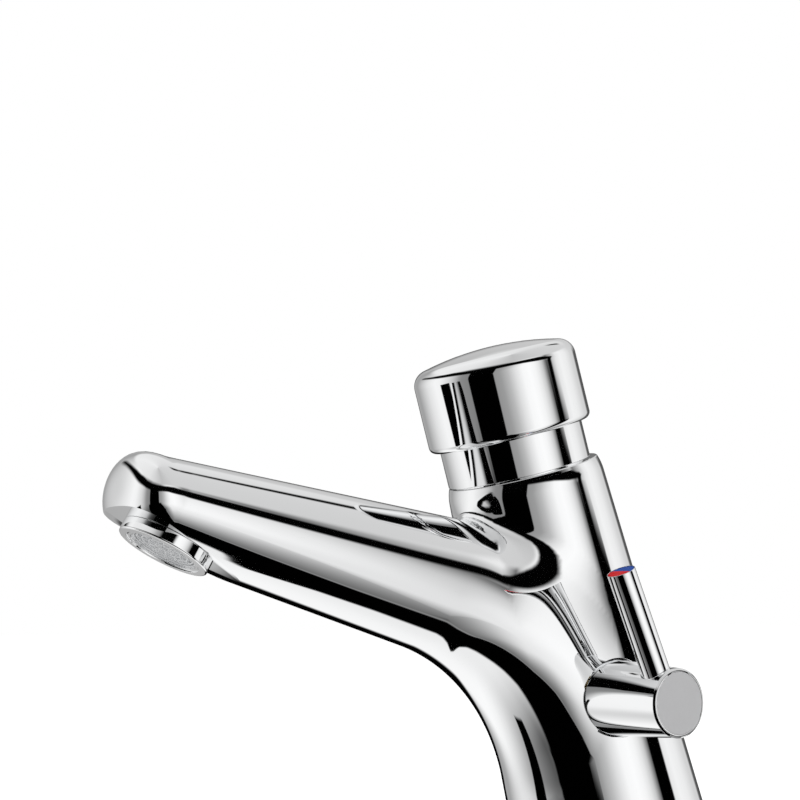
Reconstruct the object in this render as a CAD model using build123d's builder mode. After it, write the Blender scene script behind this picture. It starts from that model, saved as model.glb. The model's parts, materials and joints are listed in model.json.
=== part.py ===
from build123d import *
import os
from math import cos, pi, radians, sin, sqrt, tan

# Push timed tap with a side temperature lever, in millimetres.
# The origin is where the button's leaning axis meets the deck, +Z is up, the spout points
# along -Y and the lever is on the +X side. The body's cone lies a little behind that axis.

# Body
lean = 16.5
collar_station = 114.5
collar_ledge = 1.75
collar_rim = 1.0
base_radius = 28.6
base_wall = 6.6
body_shift = 1.3
bend_radius = 56.3
bend_centre_y = -89.0
bend_centre_z = 7.0
bend_foot_angle = 13.7

# Spout
underside_rise = 18.1
spout_top_y = -68.0
spout_top_z = 97.2
spout_top_rise = 8.3
spout_length = 89.2
spout_root_half_width = 20.0
spout_tip_half_width = 16.2
nose_lean = 7.9
nose_round = 6.0

# Outlet
outlet_y = -142.9
outlet_z = 84.8
outlet_tilt = 29.0
facet_cut_width = 56.0
outlet_ring_radius = 12.0
outlet_ring_height = 3.3
outlet_ring_wall = 2.3
outlet_ring_edge = 0.5
outlet_bore_radius = 10.5
outlet_bore_depth = 10.5
outlet_spigot_length = 7.5
outlet_seal_height = 1.5
insert_height = 5.0
insert_recess = 0.8
insert_lip = 0.9
insert_star_inner = 2.6
insert_star_outer = 7.5
insert_slot_width = 1.2
insert_slots = 8
screen_height = 0.6
waterway_radius = 5.5

# Push button and its sleeve
sleeve_ledge = 1.9
sleeve_overlap = 10.8
sleeve_edge = 0.6
rim_gap = 10.7
cap_wall = 2.5
cap_height = 26.4
cap_shoulder = 5.0
cap_rim_round = 1.2
dome_radius = 85.0
push_travel = 7.0
ceiling_clearance = 1.0
cap_hub_radius = 6.5
cap_hub_length = 7.0
cap_socket_depth = 1.0
disc_radius = 9.5
disc_edge_height = 1.2
cap_screw_head_radius = 3.5
cap_screw_head_height = 2.6
cap_screw_radius = 2.0
cap_screw_length = 11.0

# Timer
seat_station = 75.0
spigot_radius = 9.0
spigot_length = 5.0
housing_floor = 3.0
housing_bore = 11.5
housing_wall = 2.5
housing_length = 52.0
flange_ledge = 3.4
flange_station = 100.0
flange_height = 4.0
flange_shoulder = 1.6
chamber_gap = 2.0
sleeve_bore_gap = 1.0
port_radius = 5.5
window_radius = 3.0
window_station = 88.0
window_count = 4
gland_height = 8.0
stem_radius = 3.0
stem_tail_radius = 2.0
stem_tail_length = 8.6
piston_station = 104.0
piston_height = 6.0
stem_collar_radius = 4.6
stem_collar_height = 1.5
clip_height = 1.0
clip_depth = 0.6
lip_seal_height = 2.0
lip_seal_depth = 1.9
valve_washer_radius = 7.0
valve_washer_height = 2.9
valve_plate_radius = 6.4
valve_plate_height = 1.4
valve_nut_across = 7.0
valve_nut_height = 3.2
spring_wire = 1.5
spring_radius = 8.0
spring_turns = 6

# Temperature mixer, on a cross axis
mixer_y = -18.3
mixer_z = 46.5
mixer_bore = 9.0
mixer_floor_x = -12.5
spot_face_x = 22.6
spot_face_radius = 10.75
mixer_sleeve_bore = 6.5
mixer_sleeve_end_x = 14.0
spool_bore = 4.3
spool_end_x = 12.4
spool_web = 3.4
spool_window_radius = 2.1
spool_window_x = 5.6
spool_window_turn = 30.0
spindle_radius = 3.5
spindle_collar_radius = 5.6
spindle_collar_height = 1.4
spindle_end_x = 38.0
mixer_nut_end_x = 22.4
stop_ring_radius = 7.4
stop_ring_start_x = 23.4
stop_ring_height = 2.6
stop_pin_radius = 0.9
stop_pin_offset = 5.9
stop_pin_depth = 3.0
stop_slot_clearance = 1.2

# Lever
lever_back = 52.0
lever_forward = 38.0
lever_tilt = 23.5
knob_start_x = 22.95
knob_end_x = 48.5
knob_base_radius = 10.3
knob_end_radius = 9.0
knob_chamfer = 0.5
knob_recess_radius = 8.0
knob_recess_depth = 4.05
knob_cap_radius = 8.1
knob_cap_height = 1.2
knob_screw_head_radius = 3.3
knob_screw_head_height = 2.6
knob_screw_radius = 2.0
knob_screw_length = 9.0
rod_x = 43.5
rod_radius = 3.8
rod_reach = 37.2
rod_seat = 7.5
rod_spigot_radius = 2.5
rod_spigot_end = 4.3
rod_edge = 0.35
index_radius = 3.3
index_depth = 0.8

# Supply and fixing
gasket_height = 1.5
gasket_inset = 0.6
inlet_x = 7.5
inlet_offset = 5.8
inlet_radius = 4.5
inlet_depth = 8.0
filter_radius = 4.0
filter_height = 1.5
filter_mesh_height = 1.0
inlet_port_radius = 2.1
stud_land = 8.0
stud_radius = 4.0
stud_hole_depth = 11.0
stud_end_z = -65.0
deck_thickness = 30.0
clamp_radius = 24.0
clamp_opening_radius = 14.0
clamp_opening_offset = 1.5
clamp_pad_height = 3.0
clamp_plate_height = 3.0
clamp_nut_across = 13.0
clamp_nut_height = 6.5

# Clearances and overruns
fit_gap = 0.05
seat_gap = 0.1
cap_gap = 0.4
ring_gap = 0.02
ring_section = 0.7
overrun = 2.0

# Radii that follow each other outward from the timer's bore
housing_radius = housing_bore + housing_wall
timer_chamber_radius = housing_radius + chamber_gap
flange_radius = housing_radius + flange_ledge
sleeve_bore = housing_radius + sleeve_bore_gap
sleeve_thread_radius = flange_radius + flange_shoulder
sleeve_radius = sleeve_thread_radius + sleeve_ledge
cap_bore = sleeve_radius + cap_gap
cap_radius = cap_bore + cap_wall
collar_radius = sleeve_radius + collar_ledge
pocket_radius = base_radius - base_wall

# Places that follow what they line up with
inlet_y = mixer_y + inlet_offset
pocket_height = mixer_z - mixer_bore - filter_height - inlet_depth
clamp_opening_y = inlet_y - clamp_opening_offset
stud_y = clamp_opening_y + clamp_opening_radius + stud_land

# Frames
side = Vector(1, 0, 0)
up = Vector(0, 0, 1)
lean_dir = Vector(0, -sin(radians(lean)), cos(radians(lean)))
outlet_dir = Vector(0, sin(radians(outlet_tilt)), cos(radians(outlet_tilt)))
rod_dir = Vector(0, -sin(radians(lever_tilt)), cos(radians(lever_tilt)))
foot = Vector(0, 0, 0)
body_foot = Vector(0, body_shift, 0)
outlet_centre = Vector(0, outlet_y, outlet_z)
mixer_centre = Vector(0, mixer_y, mixer_z)
rod_foot = Vector(rod_x, mixer_y, mixer_z)


def section_along(origin, direction, across=side):
    # plane for turned outlines: local X is the radius, local Y runs along the axis
    return Plane(origin=origin, x_dir=across, z_dir=across.cross(direction))


stem_section, stem_axis = section_along(foot, lean_dir), Axis(foot, lean_dir)
body_section, body_axis = section_along(body_foot, lean_dir), Axis(body_foot, lean_dir)
mixer_section, mixer_axis = section_along(mixer_centre, side, up), Axis(mixer_centre, side)
outlet_section, outlet_axis = section_along(outlet_centre, outlet_dir), Axis(outlet_centre, outlet_dir)
rod_section, rod_axis = section_along(rod_foot, rod_dir), Axis(rod_foot, rod_dir)
stem_plane = Plane(origin=foot, x_dir=side, z_dir=lean_dir)
outlet_plane = Plane(origin=outlet_centre, x_dir=side, z_dir=outlet_dir)
rod_plane = Plane(origin=rod_foot, x_dir=side, z_dir=rod_dir)


def turned(outline, section, axis, mode=Mode.ADD):
    # turn a closed outline of (radius, station) points round an axis
    with BuildSketch(section) as profile:
        with BuildLine():
            Polyline(*outline, close=True)
        make_face()
    revolve(profile.sketch, axis=axis, mode=mode)


def tube(inner, outer, start, end, section, axis, mode=Mode.ADD):
    turned([(inner, start), (outer, start), (outer, end), (inner, end)], section, axis, mode)


def round_ring(inner, outer, station, section, axis, mode=Mode.ADD):
    # a round-section ring between two radii
    with BuildSketch(section) as profile:
        with Locations(((inner + outer) / 2, station)):
            Circle((outer - inner) / 2)
    revolve(profile.sketch, axis=axis, mode=mode)


def round_edges(builder, radius):
    # the round edges of one radius, lowest first
    edges = builder.edges().filter_by(GeomType.CIRCLE)
    return edges.filter_by(lambda edge: abs(edge.radius - radius) < fit_gap).sort_by(Axis.Z)


def save(builder, name):
    builder.part.label = name
    export_step(builder.part, "parts/" + name + ".step")


os.makedirs("parts", exist_ok=True)

# Stations along the leaning axis
rim_station = collar_station + rim_gap
sleeve_top = rim_station + sleeve_overlap
ceiling_station = sleeve_top + push_travel + ceiling_clearance
apex_station = rim_station + cap_height
housing_start = seat_station + spigot_length
housing_inner_floor = housing_start + housing_floor
housing_end = seat_station + housing_length
gland_start = housing_end - gland_height
piston_top = piston_station + piston_height
flange_top = flange_station + flange_height


def dome_station(radius):
    return apex_station - dome_radius + sqrt(dome_radius**2 - radius**2)


disc_bottom = dome_station(disc_radius) - disc_edge_height
cap_head_bottom = disc_bottom - cap_screw_head_height - seat_gap
stem_top = ceiling_station + cap_socket_depth

# Body: a leaning cone, with the spout as a tapering horn that bends out of its front
cone_taper_share = (base_radius - collar_radius) / collar_station
cone_start = -base_radius * tan(radians(lean)) - overrun
cone_start_radius = base_radius - cone_start * cone_taper_share


def on_ray(angle, distance):
    # a point of the mid-plane, seen from the centre of the large bend
    along = radians(angle)
    return Vector(0, bend_centre_y + distance * cos(along), bend_centre_z + distance * sin(along))


def on_top_line(bottom, height_dir):
    # where a line up from an underside point meets the spout's top line
    top_rise = radians(spout_top_rise)
    top_start = Vector(0, spout_top_y, spout_top_z)
    normal = side.cross(Vector(0, -cos(top_rise), sin(top_rise)))
    height = (top_start - bottom).dot(normal) / height_dir.dot(normal)
    return bottom + height_dir * height


def horn_section(bottom, height_dir):
    # plane and half height of an upright section of the spout
    top = on_top_line(bottom, height_dir)
    plane = Plane(origin=(bottom + top) * 0.5, x_dir=side, z_dir=side.cross(height_dir))
    return plane, (top - bottom).length / 2


bend_centre = Vector(0, bend_centre_y, bend_centre_z)
underside_angle = 90 - underside_rise
root_bottom = on_ray(underside_angle, bend_radius)
root_dir = (root_bottom - bend_centre).normalized()
tip_rise = radians(underside_rise)
tip_bottom = root_bottom + Vector(0, -cos(tip_rise), sin(tip_rise)) * spout_length
tip_dir = Vector(0, sin(radians(nose_lean)), cos(radians(nose_lean)))
root_plane, root_half_height = horn_section(root_bottom, root_dir)
tip_plane, tip_half_height = horn_section(tip_bottom, tip_dir)
bend_foot = on_ray(bend_foot_angle, bend_radius + root_half_height)
bend_foot_plane = Plane(origin=bend_foot, x_dir=side, z_dir=side.cross(bend_foot - bend_centre))

with BuildPart() as horn:
    # straight tapering spout with a rounded end
    with BuildSketch(root_plane):
        Ellipse(spout_root_half_width, root_half_height)
    with BuildSketch(tip_plane):
        Ellipse(spout_tip_half_width, tip_half_height)
    loft()
    fillet(horn.edges().sort_by(Axis.Y)[0], radius=nose_round)
    # the large bend carries the spout's root section down the front of the body
    with BuildSketch(root_plane) as root_section:
        Ellipse(spout_root_half_width, root_half_height)
    bend_sweep = underside_angle - bend_foot_angle
    revolve(root_section.sketch, axis=Axis(bend_centre, -side), revolution_arc=bend_sweep)
    # below the bend the section runs straight into the foot
    with BuildSketch(bend_foot_plane) as foot_section:
        Ellipse(spout_root_half_width, root_half_height)
    extrude(foot_section.sketch, amount=-(bend_foot.Z + overrun) / cos(radians(bend_foot_angle)))

with BuildPart() as base_pocket:
    tube(0, pocket_radius, cone_start, collar_station, body_section, body_axis)
    split(bisect_by=Plane.XY.offset(pocket_height), keep=Keep.BOTTOM)

waterway_start = outlet_centre + outlet_dir * (outlet_ring_height + outlet_bore_depth - waterway_radius / 2)
waterway_end = lean_dir * window_station + Vector(0, -timer_chamber_radius + waterway_radius / 2, 0)

with BuildPart() as tap_body:
    turned(
        [
            (0, cone_start),
            (cone_start_radius, cone_start),
            (collar_radius, collar_station),
            (0, collar_station),
        ],
        body_section,
        body_axis,
    )
    fillet(tap_body.edges().filter_by(GeomType.CIRCLE).sort_by(Axis.Z)[-1], radius=collar_rim)
    add(horn.part)
    split(bisect_by=Plane.XY.offset(gasket_height), keep=Keep.TOP)
    # flat facet under the spout's end
    facet = outlet_plane.offset(outlet_ring_height)
    with BuildSketch(facet):
        Rectangle(facet_cut_width, facet_cut_width)
    extrude(amount=-facet_cut_width / 2, mode=Mode.SUBTRACT)
    add(base_pocket.part, mode=Mode.SUBTRACT)
    # chambers on the leaning axis
    chambers = [
        (spigot_radius, mixer_z / cos(radians(lean)), housing_start),
        (timer_chamber_radius, housing_start, flange_station),
        (flange_radius + fit_gap, flange_station, flange_top),
        (sleeve_thread_radius, flange_top, collar_station + overrun),
    ]
    for radius, start, end in chambers:
        tube(0, radius, start, end, stem_section, stem_axis, Mode.SUBTRACT)
    # cross bore for the mixer, with a round spot face for the knob
    tube(0, mixer_bore, mixer_floor_x, spot_face_x, mixer_section, mixer_axis, Mode.SUBTRACT)
    tube(0, spot_face_radius, spot_face_x, base_radius + overrun, mixer_section, mixer_axis, Mode.SUBTRACT)
    # outlet bore and the waterway that feeds it
    outlet_bore_end = outlet_ring_height + outlet_bore_depth
    tube(0, outlet_bore_radius, 0, outlet_bore_end, outlet_section, outlet_axis, Mode.SUBTRACT)
    with BuildSketch(Plane(origin=waterway_start, z_dir=waterway_end - waterway_start)):
        Circle(waterway_radius)
    extrude(amount=(waterway_end - waterway_start).length, mode=Mode.SUBTRACT)
    # threaded inlets, their filter seats and ports up into the mixer
    inlet_places = [(-inlet_x, inlet_y), (inlet_x, inlet_y)]
    inlet_steps = [
        (inlet_radius, pocket_height - overrun, pocket_height + inlet_depth),
        (filter_radius, pocket_height, pocket_height + inlet_depth + filter_height),
        (inlet_port_radius, pocket_height, mixer_z),
    ]
    for radius, start, end in inlet_steps:
        with BuildSketch(Plane.XY.offset(start)):
            with Locations(*inlet_places):
                Circle(radius)
        extrude(amount=end - start, mode=Mode.SUBTRACT)
    with BuildSketch():
        with Locations((0, stud_y)):
            Circle(stud_radius + fit_gap)
    extrude(amount=pocket_height + stud_hole_depth, mode=Mode.SUBTRACT)
save(tap_body, "tap_body")

with BuildPart() as base_gasket:
    with BuildSketch():
        outer = base_radius - gasket_inset
        with Locations(body_foot):
            Ellipse(outer, outer / cos(radians(lean)))
            Ellipse(pocket_radius, pocket_radius / cos(radians(lean)), mode=Mode.SUBTRACT)
    extrude(amount=gasket_height)
save(base_gasket, "base_gasket")

# Push button sleeve
with BuildPart() as neck_sleeve:
    turned(
        [
            (sleeve_bore, flange_top + fit_gap),
            (sleeve_thread_radius - fit_gap, flange_top + fit_gap),
            (sleeve_thread_radius - fit_gap, collar_station),
            (sleeve_radius, collar_station),
            (sleeve_radius, sleeve_top - sleeve_edge),
            (sleeve_radius - sleeve_edge, sleeve_top),
            (sleeve_bore, sleeve_top),
        ],
        stem_section,
        stem_axis,
    )
save(neck_sleeve, "neck_sleeve")

# Push button
with BuildPart() as push_cap:
    with BuildSketch(stem_section) as cap_profile:
        with BuildLine():
            Polyline(
                (0, apex_station),
                (0, ceiling_station - cap_hub_length),
                (cap_hub_radius, ceiling_station - cap_hub_length),
                (cap_hub_radius, ceiling_station),
                (cap_bore, ceiling_station),
                (cap_bore, rim_station),
                (cap_radius, rim_station),
                (cap_radius, dome_station(cap_radius)),
            )
            ThreePointArc(
                (cap_radius, dome_station(cap_radius)),
                (cap_radius / 2, dome_station(cap_radius / 2)),
                (0, apex_station),
            )
        make_face()
    revolve(cap_profile.sketch, axis=stem_axis)
    fillet(round_edges(push_cap, cap_radius)[-1], radius=cap_shoulder)
    fillet(round_edges(push_cap, cap_radius)[0], radius=cap_rim_round)
    cap_bores = [
        (disc_radius, disc_bottom, apex_station + overrun),
        (cap_screw_head_radius + seat_gap, cap_head_bottom, disc_bottom),
        (cap_screw_radius + seat_gap, stem_top, cap_head_bottom),
        (stem_radius + fit_gap, ceiling_station - cap_hub_length, stem_top),
    ]
    for radius, start, end in cap_bores:
        tube(0, radius, start, end, stem_section, stem_axis, Mode.SUBTRACT)
save(push_cap, "push_cap")

with BuildPart() as cap_disc:
    with BuildSketch(stem_section) as disc_profile:
        disc_outer = disc_radius - fit_gap
        with BuildLine():
            Polyline(
                (0, apex_station),
                (0, disc_bottom),
                (disc_outer, disc_bottom),
                (disc_outer, dome_station(disc_outer)),
            )
            ThreePointArc(
                (disc_outer, dome_station(disc_outer)),
                (disc_outer / 2, dome_station(disc_outer / 2)),
                (0, apex_station),
            )
        make_face()
    revolve(disc_profile.sketch, axis=stem_axis)
save(cap_disc, "cap_disc")

with BuildPart() as cap_screw:
    head_top = cap_head_bottom + cap_screw_head_height
    tube(0, cap_screw_head_radius, cap_head_bottom, head_top, stem_section, stem_axis)
    tube(0, cap_screw_radius, cap_head_bottom - cap_screw_length, cap_head_bottom, stem_section, stem_axis)
    with BuildSketch(stem_plane.offset(head_top)):
        RegularPolygon(cap_screw_radius, 6)
    extrude(amount=-cap_screw_head_height / 2, mode=Mode.SUBTRACT)
save(cap_screw, "cap_screw")

with BuildPart() as push_stem:
    tail_start = seat_station - seat_gap - stem_tail_length
    clip_start = piston_station - clip_height
    turned(
        [
            (0, tail_start),
            (stem_tail_radius, tail_start),
            (stem_tail_radius, seat_station - seat_gap),
            (stem_radius, seat_station - seat_gap),
            (stem_radius, clip_start),
            (stem_radius - clip_depth, clip_start),
            (stem_radius - clip_depth, piston_station),
            (stem_radius, piston_station),
            (stem_radius, piston_top),
            (stem_collar_radius, piston_top),
            (stem_collar_radius, piston_top + stem_collar_height),
            (stem_radius, piston_top + stem_collar_height),
            (stem_radius, stem_top),
            (0, stem_top),
        ],
        stem_section,
        stem_axis,
    )
    screw_end = cap_head_bottom - cap_screw_length - seat_gap
    tube(0, cap_screw_radius + fit_gap, screw_end, stem_top, stem_section, stem_axis, Mode.SUBTRACT)
save(push_stem, "push_stem")

with BuildPart() as piston_clip:
    tube(
        stem_radius - clip_depth,
        stem_collar_radius,
        piston_station - clip_height,
        piston_station,
        stem_section,
        stem_axis,
    )
save(piston_clip, "piston_clip")

piston_radius = housing_bore - seat_gap
seal_start = piston_station + (piston_height - lip_seal_height) / 2
with BuildPart() as piston:
    tube(stem_radius + fit_gap, piston_radius, piston_station, piston_top, stem_section, stem_axis)
    tube(
        piston_radius - lip_seal_depth,
        piston_radius + overrun,
        seal_start,
        seal_start + lip_seal_height,
        stem_section,
        stem_axis,
        Mode.SUBTRACT,
    )
save(piston, "piston")

with BuildPart() as lip_seal:
    tube(
        piston_radius - lip_seal_depth,
        housing_bore - fit_gap,
        seal_start,
        seal_start + lip_seal_height,
        stem_section,
        stem_axis,
    )
save(lip_seal, "lip_seal")

washer_top = seat_station - seat_gap
plate_top = washer_top - valve_washer_height
nut_top = plate_top - valve_plate_height
tail_bore = stem_tail_radius + fit_gap
with BuildPart() as valve_washer:
    tube(tail_bore, valve_washer_radius, plate_top, washer_top, stem_section, stem_axis)
save(valve_washer, "valve_washer")

with BuildPart() as valve_plate:
    tube(tail_bore, valve_plate_radius, nut_top, plate_top, stem_section, stem_axis)
save(valve_plate, "valve_plate")

with BuildPart() as valve_nut:
    with BuildSketch(stem_plane.offset(nut_top)):
        RegularPolygon(valve_nut_across / 2, 6, major_radius=False)
        Circle(tail_bore, mode=Mode.SUBTRACT)
    extrude(amount=-valve_nut_height)
save(valve_nut, "valve_nut")

# Timer cartridge
groove_half = ring_section + fit_gap
ring_inner_spigot = spigot_radius - ring_section * 2
with BuildPart() as timer_housing:
    turned(
        [
            (port_radius, seat_station),
            (spigot_radius - fit_gap, seat_station),
            (spigot_radius - fit_gap, housing_start),
            (housing_radius, housing_start),
            (housing_radius, flange_station),
            (flange_radius, flange_station),
            (flange_radius, flange_top),
            (housing_radius, flange_top),
            (housing_radius, housing_end),
            (housing_bore, housing_end),
            (housing_bore, housing_inner_floor),
            (port_radius, housing_inner_floor),
        ],
        stem_section,
        stem_axis,
    )
    groove_middle = seat_station + spigot_length / 2
    tube(
        ring_inner_spigot,
        spigot_radius + overrun,
        groove_middle - groove_half,
        groove_middle + groove_half,
        stem_section,
        stem_axis,
        Mode.SUBTRACT,
    )
    for turn in range(window_count):
        window_dir = side.rotate(Axis(foot, lean_dir), turn * 360 / window_count)
        window_centre = lean_dir * window_station
        with BuildSketch(Plane(origin=window_centre, z_dir=window_dir)):
            Circle(window_radius)
        extrude(amount=housing_radius + overrun, mode=Mode.SUBTRACT)
save(timer_housing, "timer_housing")

with BuildPart() as spigot_ring:
    round_ring(ring_inner_spigot, spigot_radius, groove_middle, stem_section, stem_axis)
save(spigot_ring, "spigot_ring")

gland_groove = gland_start + gland_height / 2
gland_ring_outer = stem_radius + fit_gap + ring_section * 2
with BuildPart() as timer_gland:
    tube(stem_radius + fit_gap, housing_bore - fit_gap, gland_start, housing_end, stem_section, stem_axis)
    tube(
        stem_radius,
        gland_ring_outer,
        gland_groove - groove_half,
        gland_groove + groove_half,
        stem_section,
        stem_axis,
        Mode.SUBTRACT,
    )
save(timer_gland, "timer_gland")

with BuildPart() as gland_ring:
    round_ring(stem_radius + ring_gap, gland_ring_outer, gland_groove, stem_section, stem_axis)
save(gland_ring, "gland_ring")

spring_start = housing_inner_floor + spring_wire / 2
spring_height = piston_station - clip_height - housing_inner_floor - spring_wire
with BuildPart() as return_spring:
    with BuildLine() as coil:
        Helix(
            pitch=spring_height / spring_turns,
            height=spring_height,
            radius=spring_radius,
            center=lean_dir * spring_start,
            direction=lean_dir,
        )
    with BuildSketch(Plane(origin=coil.line @ 0, z_dir=coil.line % 0)):
        Circle(spring_wire / 2)
    sweep()
save(return_spring, "return_spring")

# Temperature mixer
sleeve_start = mixer_floor_x + seat_gap
with BuildPart() as mixer_sleeve:
    tube(
        mixer_sleeve_bore,
        mixer_bore - fit_gap,
        sleeve_start,
        mixer_sleeve_end_x,
        mixer_section,
        mixer_axis,
    )
    # two ports below, fed by the inlets, and one above to the timer
    with BuildSketch(Plane.XY.offset(mixer_z - mixer_bore)):
        with Locations(*inlet_places):
            Circle(inlet_port_radius)
    extrude(amount=mixer_bore, mode=Mode.SUBTRACT)
    with BuildSketch(Plane(origin=mixer_centre, z_dir=lean_dir)):
        Circle(port_radius)
    extrude(amount=mixer_bore + overrun, mode=Mode.SUBTRACT)
save(mixer_sleeve, "mixer_sleeve")

spool_radius = mixer_sleeve_bore - fit_gap
spool_start = sleeve_start + seat_gap
spool_ring_places = [spool_start + ring_section * 2, 0, spool_end_x - ring_section * 2]
with BuildPart() as mixer_spool:
    web_start = spool_end_x - spool_web
    turned(
        [
            (spool_bore, spool_start),
            (spool_radius, spool_start),
            (spool_radius, spool_end_x),
            (spindle_radius + fit_gap, spool_end_x),
            (spindle_radius + fit_gap, web_start),
            (spool_bore, web_start),
        ],
        mixer_section,
        mixer_axis,
    )
    for place in spool_ring_places:
        tube(
            spool_radius - ring_section,
            spool_radius + overrun,
            place - ring_section,
            place + ring_section,
            mixer_section,
            mixer_axis,
            Mode.SUBTRACT,
        )
    # one window turned to each inlet, and two to the timer above
    for hand in (-1, 1):
        for turn in (180 + hand * spool_window_turn, hand * spool_window_turn):
            window_dir = up.rotate(Axis(foot, side), turn)
            window_centre = mixer_centre + side * hand * spool_window_x
            with BuildSketch(Plane(origin=window_centre, z_dir=window_dir)):
                Circle(spool_window_radius)
            extrude(amount=mixer_bore, mode=Mode.SUBTRACT)
save(mixer_spool, "mixer_spool")

with BuildPart() as spool_rings:
    for place in spool_ring_places:
        tube(
            spool_radius - ring_section,
            mixer_sleeve_bore - ring_gap,
            place - ring_section,
            place + ring_section,
            mixer_section,
            mixer_axis,
        )
save(spool_rings, "spool_rings")

collar_start = spool_end_x + fit_gap
nut_start = mixer_sleeve_end_x + fit_gap
with BuildPart() as mixer_spindle:
    tube(0, spindle_radius, spool_end_x - spool_web + seat_gap, spindle_end_x, mixer_section, mixer_axis)
    collar_end = collar_start + spindle_collar_height
    tube(0, spindle_collar_radius, collar_start, collar_end, mixer_section, mixer_axis)
    tube(
        0,
        knob_screw_radius + fit_gap,
        spindle_end_x - knob_screw_length - seat_gap,
        spindle_end_x,
        mixer_section,
        mixer_axis,
        Mode.SUBTRACT,
    )
save(mixer_spindle, "mixer_spindle")

nut_bore = spindle_radius + fit_gap
nut_radius = mixer_bore - fit_gap
nut_middle = (nut_start + mixer_nut_end_x) / 2
with BuildPart() as mixer_nut:
    tube(nut_bore, nut_radius, nut_start, mixer_nut_end_x, mixer_section, mixer_axis)
    tube(
        mixer_bore - ring_section * 2,
        mixer_bore + overrun,
        nut_middle - groove_half,
        nut_middle + groove_half,
        mixer_section,
        mixer_axis,
        Mode.SUBTRACT,
    )
    tube(
        spindle_radius,
        nut_bore + ring_section * 2,
        nut_middle - groove_half,
        nut_middle + groove_half,
        mixer_section,
        mixer_axis,
        Mode.SUBTRACT,
    )
    with BuildSketch(Plane.YZ.offset(mixer_nut_end_x)):
        with Locations((mixer_y, mixer_z + stop_pin_offset)):
            Circle(stop_pin_radius + fit_gap)
    extrude(amount=-stop_pin_depth, mode=Mode.SUBTRACT)
save(mixer_nut, "mixer_nut")

with BuildPart() as nut_ring:
    round_ring(mixer_bore - ring_section * 2, mixer_bore, nut_middle, mixer_section, mixer_axis)
save(nut_ring, "nut_ring")

with BuildPart() as spindle_ring:
    ring_outer = nut_bore + ring_section * 2
    round_ring(spindle_radius + ring_gap, ring_outer, nut_middle, mixer_section, mixer_axis)
save(spindle_ring, "spindle_ring")

stop_ring_end_x = stop_ring_start_x + stop_ring_height
with BuildPart() as stop_pin:
    with BuildSketch(Plane.YZ.offset(mixer_nut_end_x - stop_pin_depth + seat_gap)):
        with Locations((mixer_y, mixer_z + stop_pin_offset)):
            Circle(stop_pin_radius)
    extrude(amount=stop_ring_end_x - mixer_nut_end_x + stop_pin_depth - seat_gap)
save(stop_pin, "stop_pin")

# The stop ring turns with the lever, and its slot lets it go from full cold to full hot
slot_half = stop_pin_radius + seat_gap
slot_inner = stop_pin_offset - slot_half
slot_outer = stop_pin_offset + slot_half
slot_margin = stop_pin_radius / stop_pin_offset * 180 / pi + stop_slot_clearance
slot_start = 90 - lever_forward - slot_margin
slot_sweep = lever_back + lever_forward + 2 * slot_margin
with BuildPart() as stop_ring:
    tube(
        spindle_radius + fit_gap,
        stop_ring_radius,
        stop_ring_start_x,
        stop_ring_end_x,
        mixer_section,
        mixer_axis,
    )
    with BuildSketch(Plane.YZ.offset(stop_ring_start_x - overrun)):
        with BuildLine():
            outer_arc = CenterArc((mixer_y, mixer_z), slot_outer, slot_start, slot_sweep)
            inner_arc = CenterArc((mixer_y, mixer_z), slot_inner, slot_start, slot_sweep)
            Line(outer_arc @ 0, inner_arc @ 0)
            Line(outer_arc @ 1, inner_arc @ 1)
        make_face()
    extrude(amount=stop_ring_height + 2 * overrun, mode=Mode.SUBTRACT)
save(stop_ring, "stop_ring")

# Lever
knob_recess_end = knob_start_x + knob_recess_depth
with BuildPart() as knob_hub:
    turned(
        [
            (knob_recess_radius, knob_start_x),
            (knob_base_radius, knob_start_x),
            (knob_end_radius, knob_end_x - knob_chamfer),
            (knob_end_radius - knob_chamfer, knob_end_x),
            (knob_cap_radius, knob_end_x),
            (knob_cap_radius, knob_end_x - knob_cap_height),
            (knob_screw_head_radius + seat_gap, knob_end_x - knob_cap_height),
            (knob_screw_head_radius + seat_gap, spindle_end_x + overrun),
            (knob_screw_radius + seat_gap, spindle_end_x + overrun),
            (knob_screw_radius + seat_gap, spindle_end_x),
            (spindle_radius + fit_gap, spindle_end_x),
            (spindle_radius + fit_gap, knob_recess_end),
            (knob_recess_radius, knob_recess_end),
        ],
        mixer_section,
        mixer_axis,
    )
    rod_hole_end = knob_base_radius + overrun
    tube(0, rod_radius + fit_gap, rod_seat, rod_hole_end, rod_section, rod_axis, Mode.SUBTRACT)
    tube(0, rod_spigot_radius + fit_gap, rod_spigot_end, rod_seat, rod_section, rod_axis, Mode.SUBTRACT)
save(knob_hub, "knob_hub")

with BuildPart() as knob_end_cap:
    cap_start = knob_end_x - knob_cap_height
    tube(0, knob_cap_radius - fit_gap, cap_start, knob_end_x, mixer_section, mixer_axis)
save(knob_end_cap, "knob_end_cap")

with BuildPart() as knob_screw:
    head_start = spindle_end_x + overrun
    head_end = head_start + knob_screw_head_height
    tube(0, knob_screw_head_radius, head_start, head_end, mixer_section, mixer_axis)
    tube(0, knob_screw_radius, spindle_end_x - knob_screw_length, head_start, mixer_section, mixer_axis)
    with BuildSketch(Plane(origin=mixer_centre + side * head_end, z_dir=side)):
        RegularPolygon(knob_screw_radius, 6)
    extrude(amount=-knob_screw_head_height / 2, mode=Mode.SUBTRACT)
save(knob_screw, "knob_screw")

with BuildPart() as lever_rod:
    turned(
        [
            (0, rod_spigot_end + fit_gap),
            (rod_spigot_radius, rod_spigot_end + fit_gap),
            (rod_spigot_radius, rod_seat),
            (rod_radius, rod_seat),
            (rod_radius, rod_reach - rod_edge),
            (rod_radius - rod_edge, rod_reach),
            (index_radius, rod_reach),
            (index_radius, rod_reach - index_depth),
            (0, rod_reach - index_depth),
        ],
        rod_section,
        rod_axis,
    )
save(lever_rod, "lever_rod")

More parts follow.
